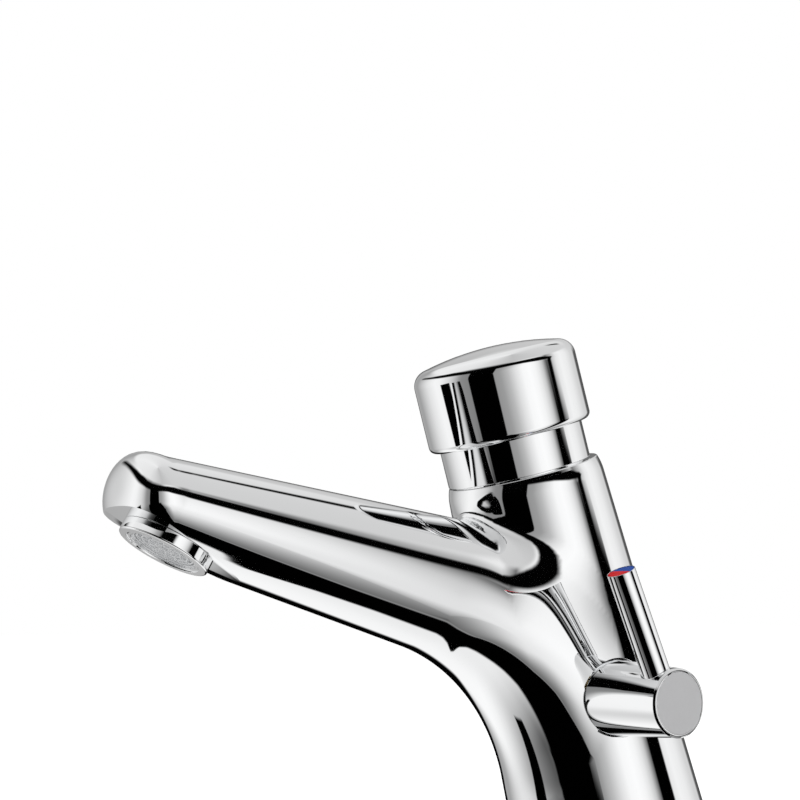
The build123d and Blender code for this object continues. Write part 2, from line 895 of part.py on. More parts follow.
# The index is two half discs: the front half is hot, the rear half is cold
for index_name, index_turn in (("hot_index", 180), ("cold_index", 0)):
    with BuildPart() as index_half:
        with BuildSketch(rod_plane.offset(rod_reach - index_depth)):
            with BuildLine():
                half_arc = CenterArc((0, 0), index_radius - fit_gap, index_turn, 180)
                Line(half_arc @ 1, half_arc @ 0)
            make_face()
        extrude(amount=index_depth)
    save(index_half, index_name)

# Outlet: a screwed ring that holds a flow insert and a screen up against a seal
ring_top = outlet_ring_height + outlet_spigot_length
insert_radius = outlet_ring_radius - outlet_ring_wall
insert_bore = insert_radius - insert_lip / 2
with BuildPart() as outlet_ring:
    spigot_outer = outlet_bore_radius - fit_gap
    lip_radius = insert_radius - insert_lip
    turned(
        [
            (lip_radius, 0),
            (outlet_ring_radius - outlet_ring_edge, 0),
            (outlet_ring_radius, outlet_ring_edge),
            (outlet_ring_radius, outlet_ring_height),
            (spigot_outer, outlet_ring_height),
            (spigot_outer, ring_top),
            (insert_bore, ring_top),
            (insert_bore, insert_recess),
            (lip_radius, insert_recess),
        ],
        outlet_section,
        outlet_axis,
    )
save(outlet_ring, "outlet_ring")

insert_outer = insert_bore - fit_gap
insert_end = insert_recess + insert_height
with BuildPart() as flow_insert:
    tube(0, insert_outer, insert_recess, insert_end, outlet_section, outlet_axis)
    with BuildSketch(outlet_plane.offset(insert_recess)):
        with PolarLocations((insert_star_inner + insert_star_outer) / 2, insert_slots):
            Rectangle(insert_star_outer - insert_star_inner, insert_slot_width)
    extrude(amount=insert_height, mode=Mode.SUBTRACT)
save(flow_insert, "flow_insert")

with BuildPart() as outlet_screen:
    tube(0, insert_outer, insert_end, insert_end + screen_height, outlet_section, outlet_axis)
save(outlet_screen, "outlet_screen")

with BuildPart() as outlet_seal:
    seal_inner = insert_star_outer
    seal_outer = outlet_bore_radius - fit_gap
    seal_top = ring_top + outlet_seal_height
    tube(seal_inner, seal_outer, ring_top, seal_top, outlet_section, outlet_axis)
save(outlet_seal, "outlet_seal")

# Supply filters and the fixing below the deck
with BuildPart() as inlet_filters:
    with BuildSketch(Plane.XY.offset(pocket_height + inlet_depth + filter_height - filter_mesh_height)):
        with Locations(*inlet_places):
            Circle(filter_radius - fit_gap)
    extrude(amount=filter_mesh_height)
save(inlet_filters, "inlet_filters")

with BuildPart() as fixing_stud:
    with BuildSketch(Plane.XY.offset(stud_end_z)):
        with Locations((0, stud_y)):
            Circle(stud_radius)
    extrude(amount=pocket_height + stud_hole_depth - seat_gap - stud_end_z)
save(fixing_stud, "fixing_stud")


def horseshoe(top_z, height):
    # a round plate, open towards the hoses, with a hole for the stud
    with BuildSketch(Plane.XY.offset(top_z)) as outline:
        Circle(clamp_radius)
        with Locations((0, clamp_opening_y)):
            Circle(clamp_opening_radius, mode=Mode.SUBTRACT)
        with Locations((0, stud_y)):
            Circle(stud_radius + seat_gap, mode=Mode.SUBTRACT)
    extrude(outline.sketch, amount=-height)


with BuildPart() as clamp_pad:
    horseshoe(-deck_thickness, clamp_pad_height)
save(clamp_pad, "clamp_pad")

plate_z = -deck_thickness - clamp_pad_height
with BuildPart() as clamp_plate:
    horseshoe(plate_z, clamp_plate_height)
save(clamp_plate, "clamp_plate")

with BuildPart() as clamp_nut:
    with BuildSketch(Plane.XY.offset(plate_z - clamp_plate_height)):
        with Locations((0, stud_y)):
            RegularPolygon(clamp_nut_across / 2, 6, major_radius=False)
            Circle(stud_radius + fit_gap, mode=Mode.SUBTRACT)
    extrude(amount=-clamp_nut_height)
save(clamp_nut, "clamp_nut")
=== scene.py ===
import json
import math

import bpy
import numpy as np
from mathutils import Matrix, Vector


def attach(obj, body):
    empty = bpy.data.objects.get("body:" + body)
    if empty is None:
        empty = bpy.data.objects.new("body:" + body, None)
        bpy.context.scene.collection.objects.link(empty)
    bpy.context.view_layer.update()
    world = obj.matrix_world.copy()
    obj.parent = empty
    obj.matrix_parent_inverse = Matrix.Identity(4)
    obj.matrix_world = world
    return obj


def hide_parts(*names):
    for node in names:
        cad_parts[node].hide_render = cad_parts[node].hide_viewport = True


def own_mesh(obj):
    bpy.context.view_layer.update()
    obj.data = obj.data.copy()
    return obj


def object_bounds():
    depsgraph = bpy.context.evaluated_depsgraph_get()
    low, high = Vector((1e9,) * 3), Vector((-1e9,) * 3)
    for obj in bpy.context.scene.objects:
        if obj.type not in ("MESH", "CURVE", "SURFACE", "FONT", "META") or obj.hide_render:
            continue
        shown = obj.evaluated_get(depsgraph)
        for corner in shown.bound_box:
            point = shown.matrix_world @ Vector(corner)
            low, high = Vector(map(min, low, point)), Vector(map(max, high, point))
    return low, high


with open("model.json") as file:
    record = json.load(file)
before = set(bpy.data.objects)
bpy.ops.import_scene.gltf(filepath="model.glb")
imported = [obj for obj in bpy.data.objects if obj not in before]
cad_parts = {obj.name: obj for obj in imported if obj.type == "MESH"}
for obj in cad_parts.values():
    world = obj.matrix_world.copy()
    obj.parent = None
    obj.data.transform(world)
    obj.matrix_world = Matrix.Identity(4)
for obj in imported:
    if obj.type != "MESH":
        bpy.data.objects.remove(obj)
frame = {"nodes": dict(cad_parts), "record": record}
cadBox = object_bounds()
nodes = frame["nodes"]
scene = bpy.context.scene
mm = 0.001
nothing = 1e-6  # a radius or an angle below this counts as none
square = ((-1, -1), (1, -1), (1, 1), (-1, 1))
print("frame loaded,", len(nodes), "nodes")


def newObject(name, data):
    made = bpy.data.objects.new(name, data)
    scene.collection.objects.link(made)
    return made


def look(made, direction):
    # turn a camera or a lamp along a direction
    made.rotation_euler = direction.to_track_quat("-Z", "Y").to_euler()


# Camera, at the photograph's viewing angle, lengths in millimetres
camera = {
    "eye": (320.8, -281.5, 75.8),
    "target": (0.0, -73.6, 127.6),
    "lens": 63.0,
    "sensor": 36.0,
    "clip": (0.01, 30),  # in metres
}


def addCamera():
    data = bpy.data.cameras.new("camera")
    data.lens, data.sensor_width = camera["lens"], camera["sensor"]
    data.clip_start, data.clip_end = camera["clip"]
    made = newObject("camera", data)
    eye, target = Vector(camera["eye"]), Vector(camera["target"])
    made.location = eye * mm
    look(made, target - eye)
    scene.camera = made


addCamera()
scene.view_settings.view_transform = "Standard"
print("camera set")


class Wire:
    # a shader socket: sums and products of wires add Math nodes
    def __init__(self, shader, socket):
        self.shader, self.socket = shader, socket

    def math(self, operation, *others):
        inputs = dict(enumerate((self, *others)))
        return self.shader.node("ShaderNodeMath", {"operation": operation}, inputs)

    def __add__(self, other):
        return self.math("ADD", other)

    def __sub__(self, other):
        return self.math("SUBTRACT", other)

    def __rsub__(self, other):
        return self.shader.node("ShaderNodeMath", {"operation": "SUBTRACT"}, {0: other, 1: self})

    def __mul__(self, other):
        return self.math("MULTIPLY", other)

    def __truediv__(self, other):
        return self.math("DIVIDE", other)

    __radd__, __rmul__ = __add__, __mul__

    def output(self, name):
        # another output of the same node
        return Wire(self.shader, self.socket.node.outputs[name])

    def above(self, level, soft):
        # 0 below the level and 1 above it, with a soft step
        settings = {"interpolation_type": "SMOOTHSTEP"}
        inputs = {"Value": self, "From Min": level - soft / 2, "From Max": level + soft / 2}
        return self.shader.node("ShaderNodeMapRange", settings, inputs)

    def between(self, low, high, soft):
        return self.above(low, soft) - self.above(high, soft)


class Shader:
    def __init__(self, tree):
        self.tree = tree
        tree.nodes.clear()

    def node(self, kind, settings=None, inputs=None, output=0):
        made = self.tree.nodes.new(kind)
        for name, value in (settings or {}).items():
            if name == "stops":
                ramp = made.color_ramp
                while len(ramp.elements) < len(value):
                    ramp.elements.new(0.5)
                for stop, (place, colour) in zip(ramp.elements, value):
                    stop.position = place
                    stop.color = (*colour, 1)
            else:
                setattr(made, name, value)
        for name, value in (inputs or {}).items():
            if isinstance(value, Wire):
                self.tree.links.new(value.socket, made.inputs[name])
            else:
                made.inputs[name].default_value = value
        return Wire(self, made.outputs[output])

    def mix(self, share, first, second):
        return self.node("ShaderNodeMix", {"data_type": "RGBA"}, {0: share, 6: first, 7: second}, 2)

    def noise(self, place, scale, detail=2.0, rough=0.5):
        inputs = {"Vector": place, "Scale": scale, "Detail": detail, "Roughness": rough}
        return self.node("ShaderNodeTexNoise", None, inputs)

    def background(self, colour):
        return self.node("ShaderNodeBackground", None, {"Color": colour, "Strength": 1.0})

    def finish(self, surface, kind="ShaderNodeOutputMaterial"):
        made = self.tree.nodes.new(kind)
        self.tree.links.new(surface.socket, made.inputs["Surface"])


def shade(value):
    # the linear strength of a brightness as the eye sees it
    return value**2.2


def grey(value):
    return (value, value, value)


# Studio: what the chrome mirrors, by compass bearing and elevation in degrees.
# Bearing 0 is behind the tap and 90 on the lever's side.
studio = {
    "gloss": 0.93,
    "walls": [  # bearing and brightness
        (-180, 0.58), (-172, 0.74), (-164, 0.84), (-147, 0.95), (-138, 0.96), (-130, 0.93), (-120, 0.88),
        (-110, 0.80), (-100, 0.71), (-90, 0.62), (-80, 0.62), (-50, 0.78), (-20, 0.80), (-8, 0.82),
        (10, 0.92), (24, 0.95), (34, 0.90), (54, 0.42), (60, 0.78), (66, 0.90), (72, 0.96), (80, 0.99),
        (90, 0.97), (100, 0.87), (110, 0.72), (120, 0.60), (132, 0.55), (165, 0.50), (176, 0.53),
        (180, 0.58),
    ],
    "ceiling": [
        (-180, 0.89), (-110, 0.93), (-60, 0.89), (-10, 0.82), (60, 0.80), (110, 0.74), (150, 0.83),
        (180, 0.89),
    ],
    "ceilingLevel": (36, 8),  # a level is an elevation and its softness
    "ground": [
        (-180, 0.40), (-170, 0.47), (-160, 0.54), (-151, 0.61), (-143, 0.675), (-132, 0.78), (-120, 0.88),
        (-108, 0.95), (-96, 0.98), (-60, 0.96), (-30, 0.90), (40, 0.82), (72, 0.90), (90, 0.90),
        (110, 0.85), (130, 0.72), (150, 0.48), (165, 0.34), (171, 0.33), (180, 0.40),
    ],
    "groundLevel": (-26, 20),
    "nadir": (-66, 40, 0.92),  # straight below: its level and brightness
    "cards": [  # bearings from and to, elevations from and to, softness across and up, brightness
        (-70, -20, -30, 19, 8, 12, 0.33),
        (-75.5, -48, -34, -1, 4, 8, 0.03),
        (35, 53, -62, 9.5, 2.5, 5, 0.02),
        (43, 50, 5, 24, 3, 5, 0.02),
        (129, 165.5, -45, 20, 1.5, 4, 0.02),
        (-164, -147.5, -60, -12.5, 1.5, 2.5, 0.02),
        (-27, -17, 45, 57, 6, 6, 0.05),
    ],
    "band": [  # a dark band round the back: bearing, lower and upper elevation
        (-180, 15.5, 31.5), (-172, 17, 33), (-160, 18.5, 34), (-150, 19, 32.5), (-134, 20.5, 31),
        (-126, 21, 29.5), (-118, 21, 28), (-110, 21, 26.5), (-102, 20.5, 25), (-96, 20.5, 22),
        (-92, 24, 18), (38, 24, 18), (44, 15, 23), (50, 14, 26), (58, 13.5, 31), (66, 13, 33),
        (90, 15, 33), (104, 14.5, 32), (118, 13, 32), (132, 11.5, 31), (165, 13, 31), (180, 15.5, 31.5),
    ],
    "bandSoft": (4.5, 5),
    "bandTone": 0.03,
    "shadow": [  # dark ground: how far back, its left and its right edge, for a ground one unit below
        (-1.5, 0.28, 2.4), (-1.22, 0.28, 2.0), (-0.925, 0.28, 1.77), (-0.775, 0.28, 1.66),
        (-0.475, 0.28, 1.36), (-0.3, 0.28, 1.22), (-0.175, 0.23, 1.02), (-0.1, 0.18, 0.91),
        (-0.025, 0.12, 0.78), (0.025, 0.08, 0.68), (0.075, 0.02, 0.56), (0.11, -0.1, 0.46),
        (0.13, -0.3, 0.39), (0.155, -0.38, 0.35), (0.185, -0.2, 0.33), (0.225, -0.12, 0.32),
        (0.275, -0.10, 0.34), (0.32, -0.08, 0.36), (0.36, 0.0, 0.36), (0.375, 0.35, 0.2),
        (0.5, 0.5, -0.2),
    ],
    "shadowSoft": 0.07,
    "shadowTop": (-21, 5),
    "shadowTone": 0.02,
    "haze": (0.5, 1.5, 0.33),  # right of the shadow: where it fades, how softly, brightness
    "leastDepth": 0.001,
    "fill": 0.75,
}


def tone(value):
    return (*grey(shade(value) / studio["gloss"]), 1)


def compass(bearing, name):
    # one of the studio's lists as a light that changes with the bearing
    stops = [((at + 180) / 360, tone(value)[:3]) for at, value in studio[name]]
    return bearing.shader.node("ShaderNodeValToRGB", {"stops": stops}, {"Fac": (bearing + 180) / 360})


def edgeLine(along, stops, column):
    # a broken line of edge places along a coordinate
    first, last = stops[0][0], stops[-1][0]
    values = [stop[column] for stop in stops]
    low, high = min(values), max(values)
    ramp = [
        ((stop[0] - first) / (last - first), grey((value - low) / (high - low)))
        for stop, value in zip(stops, values)
    ]
    share = (along - first) / (last - first)
    made = along.shader.node("ShaderNodeValToRGB", {"stops": ramp}, {"Fac": share})
    return made * (high - low) + low


def shadowEdges(x, y, z):
    # the ground as a plane: how far right of the shadow's left and right edges a ray meets it
    depth = (z * -1).math("MAXIMUM", studio["leastDepth"])
    right, back = x / depth, y / depth
    stretch = (back * (1 / studio["shadow"][0][0])).math("MAXIMUM", 1)
    right, back = right / stretch, back / stretch
    return [right - edgeLine(back, studio["shadow"], column) for column in (1, 2)]


def studioLight(shader):
    # the light that the chrome mirrors in each direction
    direction = shader.node("ShaderNodeTexCoord", None, None, "Generated")
    split = shader.node("ShaderNodeSeparateXYZ", None, {"Vector": direction})
    x, y, z = (split.output(axis) for axis in "XYZ")
    bearing = x.math("ARCTAN2", y) * math.degrees(1)
    height = z.math("ARCSINE") * math.degrees(1)
    light, ceiling, ground = (compass(bearing, name) for name in ("walls", "ceiling", "ground"))
    light = shader.mix(height.above(*studio["ceilingLevel"]), light, ceiling)
    level, soft, value = studio["nadir"]
    ground = shader.mix(height.above(level, soft), tone(value), ground)
    left, past = shadowEdges(x, y, z)
    soft = studio["shadowSoft"]
    begin, reach, value = studio["haze"]
    haze = past.above(0, soft) * (1 - past.above(begin, reach))
    ground = shader.mix(haze, ground, tone(value))
    light = shader.mix(height.above(*studio["groundLevel"]), ground, light)
    for start, end, low, high, across, up, value in studio["cards"]:
        card = bearing.between(start, end, across) * height.between(low, high, up)
        light = shader.mix(card, light, tone(value))
    softLow, softHigh = studio["bandSoft"]
    band = (height - edgeLine(bearing, studio["band"], 1)).above(0, softLow)
    band = band * (edgeLine(bearing, studio["band"], 2) - height).above(0, softHigh)
    light = shader.mix(band, light, tone(studio["bandTone"]))
    dark = left.above(0, soft) * (1 - past.above(0, soft)) * (1 - height.above(*studio["shadowTop"]))
    return shader.mix(dark, light, tone(studio["shadowTone"]))


def addWorld():
    world = bpy.data.worlds.new("studio")
    world.use_nodes = True
    scene.world = world
    shader = Shader(world.node_tree)
    mirror = shader.background(studioLight(shader))
    fill = shader.background((*grey(studio["fill"]), 1))
    white = shader.background((1, 1, 1, 1))
    rays = shader.node("ShaderNodeLightPath", None, None, "Is Camera Ray")
    mirrored = rays.output("Is Glossy Ray").math("MAXIMUM", rays.output("Is Transmission Ray"))
    seen = shader.node("ShaderNodeMixShader", None, {0: mirrored, 1: fill, 2: mirror})
    seen = shader.node("ShaderNodeMixShader", None, {0: rays, 1: seen, 2: white})
    shader.finish(seen, "ShaderNodeOutputWorld")


lamps = {
    "key": {"place": (0.9, -0.7, 1.2), "size": 1.0, "power": 9.0},
    "side": {"place": (-1.1, -0.5, 0.8), "size": 1.0, "power": 5.0},
    "back": {"place": (-0.2, 1.1, 1.1), "size": 0.9, "power": 5.0},
}


def addLamps():
    for name, lamp in lamps.items():
        data = bpy.data.lights.new(name + "Lamp", "AREA")
        data.shape, data.size, data.energy = "SQUARE", lamp["size"], lamp["power"]
        made = newObject(name + "Lamp", data)
        made.location = lamp["place"]
        look(made, -Vector(lamp["place"]))
        made.visible_glossy = False  # the chrome mirrors the studio walls alone


floor = {"gap": 0.5, "reach": 4.0, "colour": 0.55, "glow": 0.62}


def addFloor():
    z = cadBox[0].z - floor["gap"] * mm
    reach = floor["reach"]
    mesh = bpy.data.meshes.new("floor")
    mesh.from_pydata([(x * reach, y * reach, z) for x, y in square], [], [(0, 1, 2, 3)])
    made = newObject("floor", mesh)
    material = bpy.data.materials.new("paleFloor")
    material.use_nodes = True
    shader = Shader(material.node_tree)
    matt = shader.node("ShaderNodeBsdfDiffuse", None, {"Color": (*grey(floor["colour"]), 1)})
    rays = shader.node("ShaderNodeLightPath", None, None, "Is Camera Ray")
    glow = shader.node("ShaderNodeEmission", None, {"Color": (1, 1, 1, 1), "Strength": rays * floor["glow"]})
    shader.finish(shader.node("ShaderNodeAddShader", None, {0: matt, 1: glow}))
    mesh.materials.append(material)
    made.visible_glossy = False  # the studio's own ground is what the chrome mirrors


addWorld()
addLamps()
addFloor()
print("studio built")

# Finishes: material name, colour, metal, roughness from and to, scale and depth of the relief,
# scale of the grain and how far it darkens the colour
dull = {"Specular IOR Level": 0.08}
looks = {
    "polished_chrome": ("polishedChrome", (0.93, 0.935, 0.94), 1, (0.015, 0.045), (60, 0.004), (700, 0.01)),
    "satin_chrome": ("satinChrome", (0.80, 0.80, 0.81), 0.6, (0.40, 0.50), (2600, 0.003), (1200, 0.04)),
    "brass": ("turnedBrass", (0.76, 0.58, 0.28), 1, (0.22, 0.38), (3000, 0.004), (500, 0.15)),
    "steel": ("brightSteel", (0.60, 0.61, 0.62), 1, (0.22, 0.36), (2400, 0.004), (600, 0.12)),
    "grey_plastic": ("greyPlastic", (0.42, 0.43, 0.44), 0, (0.38, 0.52), (3500, 0.01), (900, 0.06)),
    "white_plastic": ("whitePlastic", (0.80, 0.81, 0.82), 0, (0.26, 0.34), (900, 0.0015), (900, 0.03)),
    "black_rubber": ("blackRubber", (0.025, 0.025, 0.026), 0, (0.55, 0.75), (5000, 0.02), (1500, 0.3)),
    "red_plastic": ("redIndex", (0.55, 0.010, 0.014), 0, (0.45, 0.55), (3000, 0.003), (900, 0.08), dull),
    "blue_plastic": ("blueIndex", (0.008, 0.055, 0.30), 0, (0.45, 0.55), (3000, 0.003), (900, 0.08), dull),
}
cloudNoise = {"scale": 90.0, "detail": 3.0, "rough": 0.6}
grainDetail = 4.0
chrome = ["polished_chrome"]


def finish(name, colour, metal, rough, relief, grain, extra=None):
    # a finish with cloudy gloss, faint colour variation and fine relief
    material = bpy.data.materials.new(name)
    material.use_nodes = True
    shader = Shader(material.node_tree)
    place = shader.node("ShaderNodeTexCoord", None, None, "Object")
    low, high = rough
    reliefScale, depth = relief
    bump = {"Strength": 1.0, "Distance": depth * mm, "Height": shader.noise(place, reliefScale)}
    grainScale, darkening = grain
    tint = tuple(channel * (1 - darkening) for channel in colour)
    inputs = {
        "Metallic": metal,
        "Roughness": shader.noise(place, **cloudNoise) * (high - low) + low,
        "Base Color": shader.mix(shader.noise(place, grainScale, grainDetail), (*tint, 1), (*colour, 1)),
        "Normal": shader.node("ShaderNodeBump", None, bump),
        **(extra or {}),
    }
    shader.finish(shader.node("ShaderNodeBsdfPrincipled", None, inputs))
    return material


finishes = {slot: finish(*made) for slot, made in looks.items()}
slotOf = {entry["node"]: entry["material_slot"] for entry in frame["record"]["subparts"]}
for name, node in nodes.items():
    node.data.materials.clear()
    node.data.materials.append(finishes[slotOf[name]])
print("finishes made,", len(finishes))


# Mesh helpers, in millimetres until a mesh is made
def newMesh(name, points, faces):
    mesh = bpy.data.meshes.new(name)
    mesh.from_pydata((np.array(points) * mm).tolist(), [], faces)
    return mesh


def addPiece(name, mesh, slots, body, replaced):
    # put a mesh in the scene, riding on its body and standing for its nodes
    made = newObject(name, mesh)
    for slot in slots:
        mesh.materials.append(finishes[slot])
    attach(made, body)
    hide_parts(*replaced)
    return made


def smooth(mesh, sharp):
    # smooth shading that keeps the edges where faces turn by more than an angle in degrees
    mesh.shade_smooth()
    mesh.set_sharp_from_angle(angle=math.radians(sharp))


def readAll(items, attribute, width=1, kind=float):
    # one attribute of all points, corners or faces of a mesh
    values = np.empty(len(items) * width, kind)
    items.foreach_get(attribute, values)
    return values.reshape(-1, width) if width > 1 else values


def frameOf(origin, along, across=(1, 0, 0)):
    # the axes of a turned piece: two across it and one along it
    along = np.array(along, float) / np.linalg.norm(along)
    across = np.array(across, float)
    across = across - along * across.dot(along)
    across /= np.linalg.norm(across)
    return np.array(origin, float), across, np.cross(along, across), along


def rounded(corners, arcStep):
    # (radius, height, rounding) corners to (radius, height, direction before, direction after) points
    made = []
    last = len(corners) - 1
    for i, (radius, height, rounding) in enumerate(corners):
        here = np.array([radius, height], float)
        before = here - np.array(corners[max(i - 1, 0)][:2])
        after = np.array(corners[min(i + 1, last)][:2]) - here
        before = before / np.linalg.norm(before) if i > 0 else after / np.linalg.norm(after)
        after = after / np.linalg.norm(after) if i < last else before
        turn = math.atan2(before[0] * after[1] - before[1] * after[0], before.dot(after))
        faceBefore = np.array([before[1], -before[0]])
        faceAfter = np.array([after[1], -after[0]])
        if not rounding or abs(turn) < nothing:
            made.append((radius, height, faceBefore, faceAfter))
            continue
        hand = math.copysign(1, turn)
        centre = here - before * rounding * math.tan(abs(turn) / 2) - faceBefore * rounding * hand
        steps = max(3, math.ceil(abs(math.degrees(turn)) / arcStep))
        for j in range(steps + 1):
            angle = turn * j / steps
            face = np.array([
                faceBefore[0] * math.cos(angle) - faceBefore[1] * math.sin(angle),
                faceBefore[0] * math.sin(angle) + faceBefore[1] * math.cos(angle),
            ])
            point = centre + face * rounding * hand
            made.append((point[0], point[1], face, face))
    return made


def turned(name, corners, axes, slots, body, replaced=(), around=160, closed=False, arcStep=5.0):
    # a smooth turned piece with exact surface directions; a cutter has no body
    outline = rounded(corners, arcStep)
    origin, across, over, along = axes
    angles = np.arange(around) * 2 * math.pi / around
    spin = np.cos(angles)[:, None] * across + np.sin(angles)[:, None] * over
    points, rings = [], []
    for radius, height, _, _ in outline:
        start = len(points)
        if radius < nothing:
            points.append(origin + along * height)
            rings.append([start] * around)
        else:
            points.extend(origin + along * height + spin * radius)
            rings.append(list(range(start, start + around)))
    faces, directions = [], []
    pairs = [(i, i + 1) for i in range(len(outline) - 1)]
    if closed:
        pairs.append((len(outline) - 1, 0))
    for i, j in pairs:
        faceLow, faceHigh = outline[i][3], outline[j][2]
        if j == 0:
            step = np.array(outline[j][:2]) - np.array(outline[i][:2])
            step = step / np.linalg.norm(step)
            faceLow = faceHigh = np.array([step[1], -step[0]])
        for k in range(around):
            n = (k + 1) % around
            corner = {}  # each point once, since a ring on the axis is a single point
            for ring, turn, face in ((i, k, faceLow), (i, n, faceLow), (j, n, faceHigh), (j, k, faceHigh)):
                corner.setdefault(rings[ring][turn], spin[turn] * face[0] + along * face[1])
            if len(corner) > 2:
                faces.append(list(corner))
                directions.extend(corner.values())
    mesh = newMesh(name, points, faces)
    mesh.shade_smooth()
    mesh.normals_split_custom_set([tuple(direction) for direction in directions])
    return addPiece(name, mesh, slots, body, replaced) if body else newObject(name, mesh)


def rod(name, radius, start, end, axes, around=96):
    # a round cutter
    corners = [(0, start, 0), (radius, start, 0), (radius, end, 0), (0, end, 0)]
    return turned(name, corners, axes, [], None, around=around)


def prism(name, outline, direction):
    # a form with flat ends: one outline of points carried along a direction
    count = len(outline)
    points = [np.array(point, float) for point in outline]
    if np.cross(points[1] - points[0], points[2] - points[1]) @ np.array(direction) < 0:
        points.reverse()
    points += [point + np.array(direction, float) for point in points]
    faces = [list(range(count))[::-1], list(range(count, 2 * count))]
    faces += [[i, (i + 1) % count, count + (i + 1) % count, count + i] for i in range(count)]
    return newObject(name, newMesh(name, points, faces))


def carve(piece, cutters):
    # take the cutters' forms out of a piece, and the cutters out of the scene
    for cutter in cutters:
        modifier = piece.modifiers.new("cut", "BOOLEAN")
        modifier.object, modifier.operation, modifier.solver = cutter, "DIFFERENCE", "EXACT"
    graph = bpy.context.evaluated_depsgraph_get()
    mesh = bpy.data.meshes.new_from_object(piece.evaluated_get(graph))
    old = piece.data
    piece.modifiers.clear()
    piece.data = mesh
    bpy.data.meshes.remove(old)
    for cutter in cutters:
        bpy.data.objects.remove(cutter)


# Body: the leaning cone and the horn of the spout, with a fillet that opens out between them
tapBody = {
    "lean": 16.5,
    "shift": 1.3,  # how far the cone's axis lies behind the button's
    "collarStation": 114.5,  # a station is measured up the leaning axis
    "collarRadius": 22.65,
    "baseRadius": 28.6,
    "rim": 1.0,
    "rimEdge": 0.4,
    "rimLap": 0.02,
    "rimHeight": 4.5,  # the cone draws in over this height under the collar
    "rimBend": 14.0,
    "bendRadius": 59.0,  # of the horn's underside, between its straight foot and the spout
    "bendCentre": (-89.95, 4.42),
    "footAngle": 13.7,
    "undersideRise": 18.16,
    "topPoint": (-68.0, 97.19),
    "topRise": 8.36,
    "spoutLength": 80.65,
    "noseLength": 11.25,
    "nosePower": 3.08,
    "noseTilt": 0.186,
    "noseGrow": 3.4,
    "noseHalfWidth": 17.0,
    "rootHalfWidth": 20.0,
    "footHalfWidth": 24.0,
    "rootEase": 0.5,
    "filletTop": (6.5, 0.1),  # under the collar: the size, and the turn that gives half of it
    "filletGrow": (24.0, 0.35),  # how much larger both are far down the sides
    "filletStation": 104.0,
    "filletSpread": 14.0,
    "filletStride": 4.0,
    "leastSlope": 0.02,
    "leastBlend": 0.001,
    "gasket": 1.5,
    "cell": 1.25,
    "low": (-31.0, -162.0, -3.0),
    "high": (31.0, 36.0, 122.0),
    "stubHeight": 3.0,
    "stubRadius": 33.0,
    "stubDepth": 1.0,
}
leanAngle = math.radians(tapBody["lean"])
leanDir = np.array([0, -math.sin(leanAngle), math.cos(leanAngle)])
outletTilt = math.radians(29.0)
outletCentre = np.array([0, -142.9, 84.8])
outletDir = np.array([0, math.sin(outletTilt), math.cos(outletTilt)])
facetHeight = 3.3  # from the outlet's face back to the flat under the nose
mixerCentre = np.array([0, -18.3, 46.5])


def slope(field, points, step=0.05):
    made = np.empty_like(points)
    for axis in range(3):
        shift = np.zeros(3)
        shift[axis] = step
        made[:, axis] = (field(points + shift) - field(points - shift)) / (2 * step)
    return made


def coneField(points):
    t = tapBody
    taper = (t["baseRadius"] - t["collarRadius"]) / t["collarStation"]
    local = points - np.array([0, t["shift"], 0])
    station = local @ leanDir
    radius = np.linalg.norm(local - station[:, None] * leanDir, axis=1)
    # the cone draws in a little just under the collar
    nearRim = np.maximum(station - t["collarStation"] + t["rimHeight"], 0)
    drawn = nearRim**2 / (2 * t["rimBend"])
    return (radius - t["baseRadius"] + taper * station + drawn) * math.cos(math.atan(taper))


def hornField(points):
    t = tapBody
    rise, topRise = math.radians(t["undersideRise"]), math.radians(t["topRise"])
    foot = math.radians(t["footAngle"])
    centre, bend = np.array(t["bendCentre"]), t["bendRadius"]
    outward = np.array([-math.cos(rise), math.sin(rise)])
    upward = np.array([math.sin(rise), math.cos(rise)])
    root = centre + bend * upward
    topFace = np.array([math.sin(topRise), math.cos(topRise)])
    rootHeight = (np.array(t["topPoint"]) - root) @ topFace / (upward @ topFace)
    flat = points[:, 1:3]
    reach = (flat - root) @ outward
    depth = (flat - root) @ upward
    fromCentre = flat - centre
    turn = np.arctan2(fromCentre[:, 1], fromCentre[:, 0])
    inBend = np.linalg.norm(fromCentre, axis=1) - bend
    below = fromCentre @ np.array([math.cos(foot), math.sin(foot)]) - bend
    depth = np.where(reach < 0, np.where(turn < foot, below, inBend), depth)
    length = t["spoutLength"]
    # the height and the sides grow at one rate along the spout and ever faster down the bend
    widening = (t["rootHalfWidth"] - t["noseHalfWidth"]) / length
    deepening = math.tan(rise - topRise) / 2
    sweep = math.pi / 2 - rise - foot
    down = np.where(reach < 0, np.clip((math.pi / 2 - rise - turn) / sweep, 0, 1), 0)
    run = sweep * (bend + np.clip(depth, 0, rootHeight))
    half = rootHeight / 2 - deepening * np.clip(reach, 0, length + t["noseGrow"])
    half = half + deepening * run * (down - t["rootEase"] * down**2)
    flare = t["footHalfWidth"] - t["rootHalfWidth"] - widening * sweep * bend
    width = t["rootHalfWidth"] - widening * np.clip(reach, 0, length)
    width = width + widening * run * down + flare * down**2
    past = np.maximum(reach - length - t["noseTilt"] * (depth - half), 0) / t["noseLength"]
    power = t["nosePower"]
    offZero = 1e-9  # lets the root below have a slope on the horn's own axis
    across = (points[:, 0] / width) ** 2 + ((depth - half) / half) ** 2 + offZero
    return (across ** (power / 2) + past**power) ** (1 / power) - 1


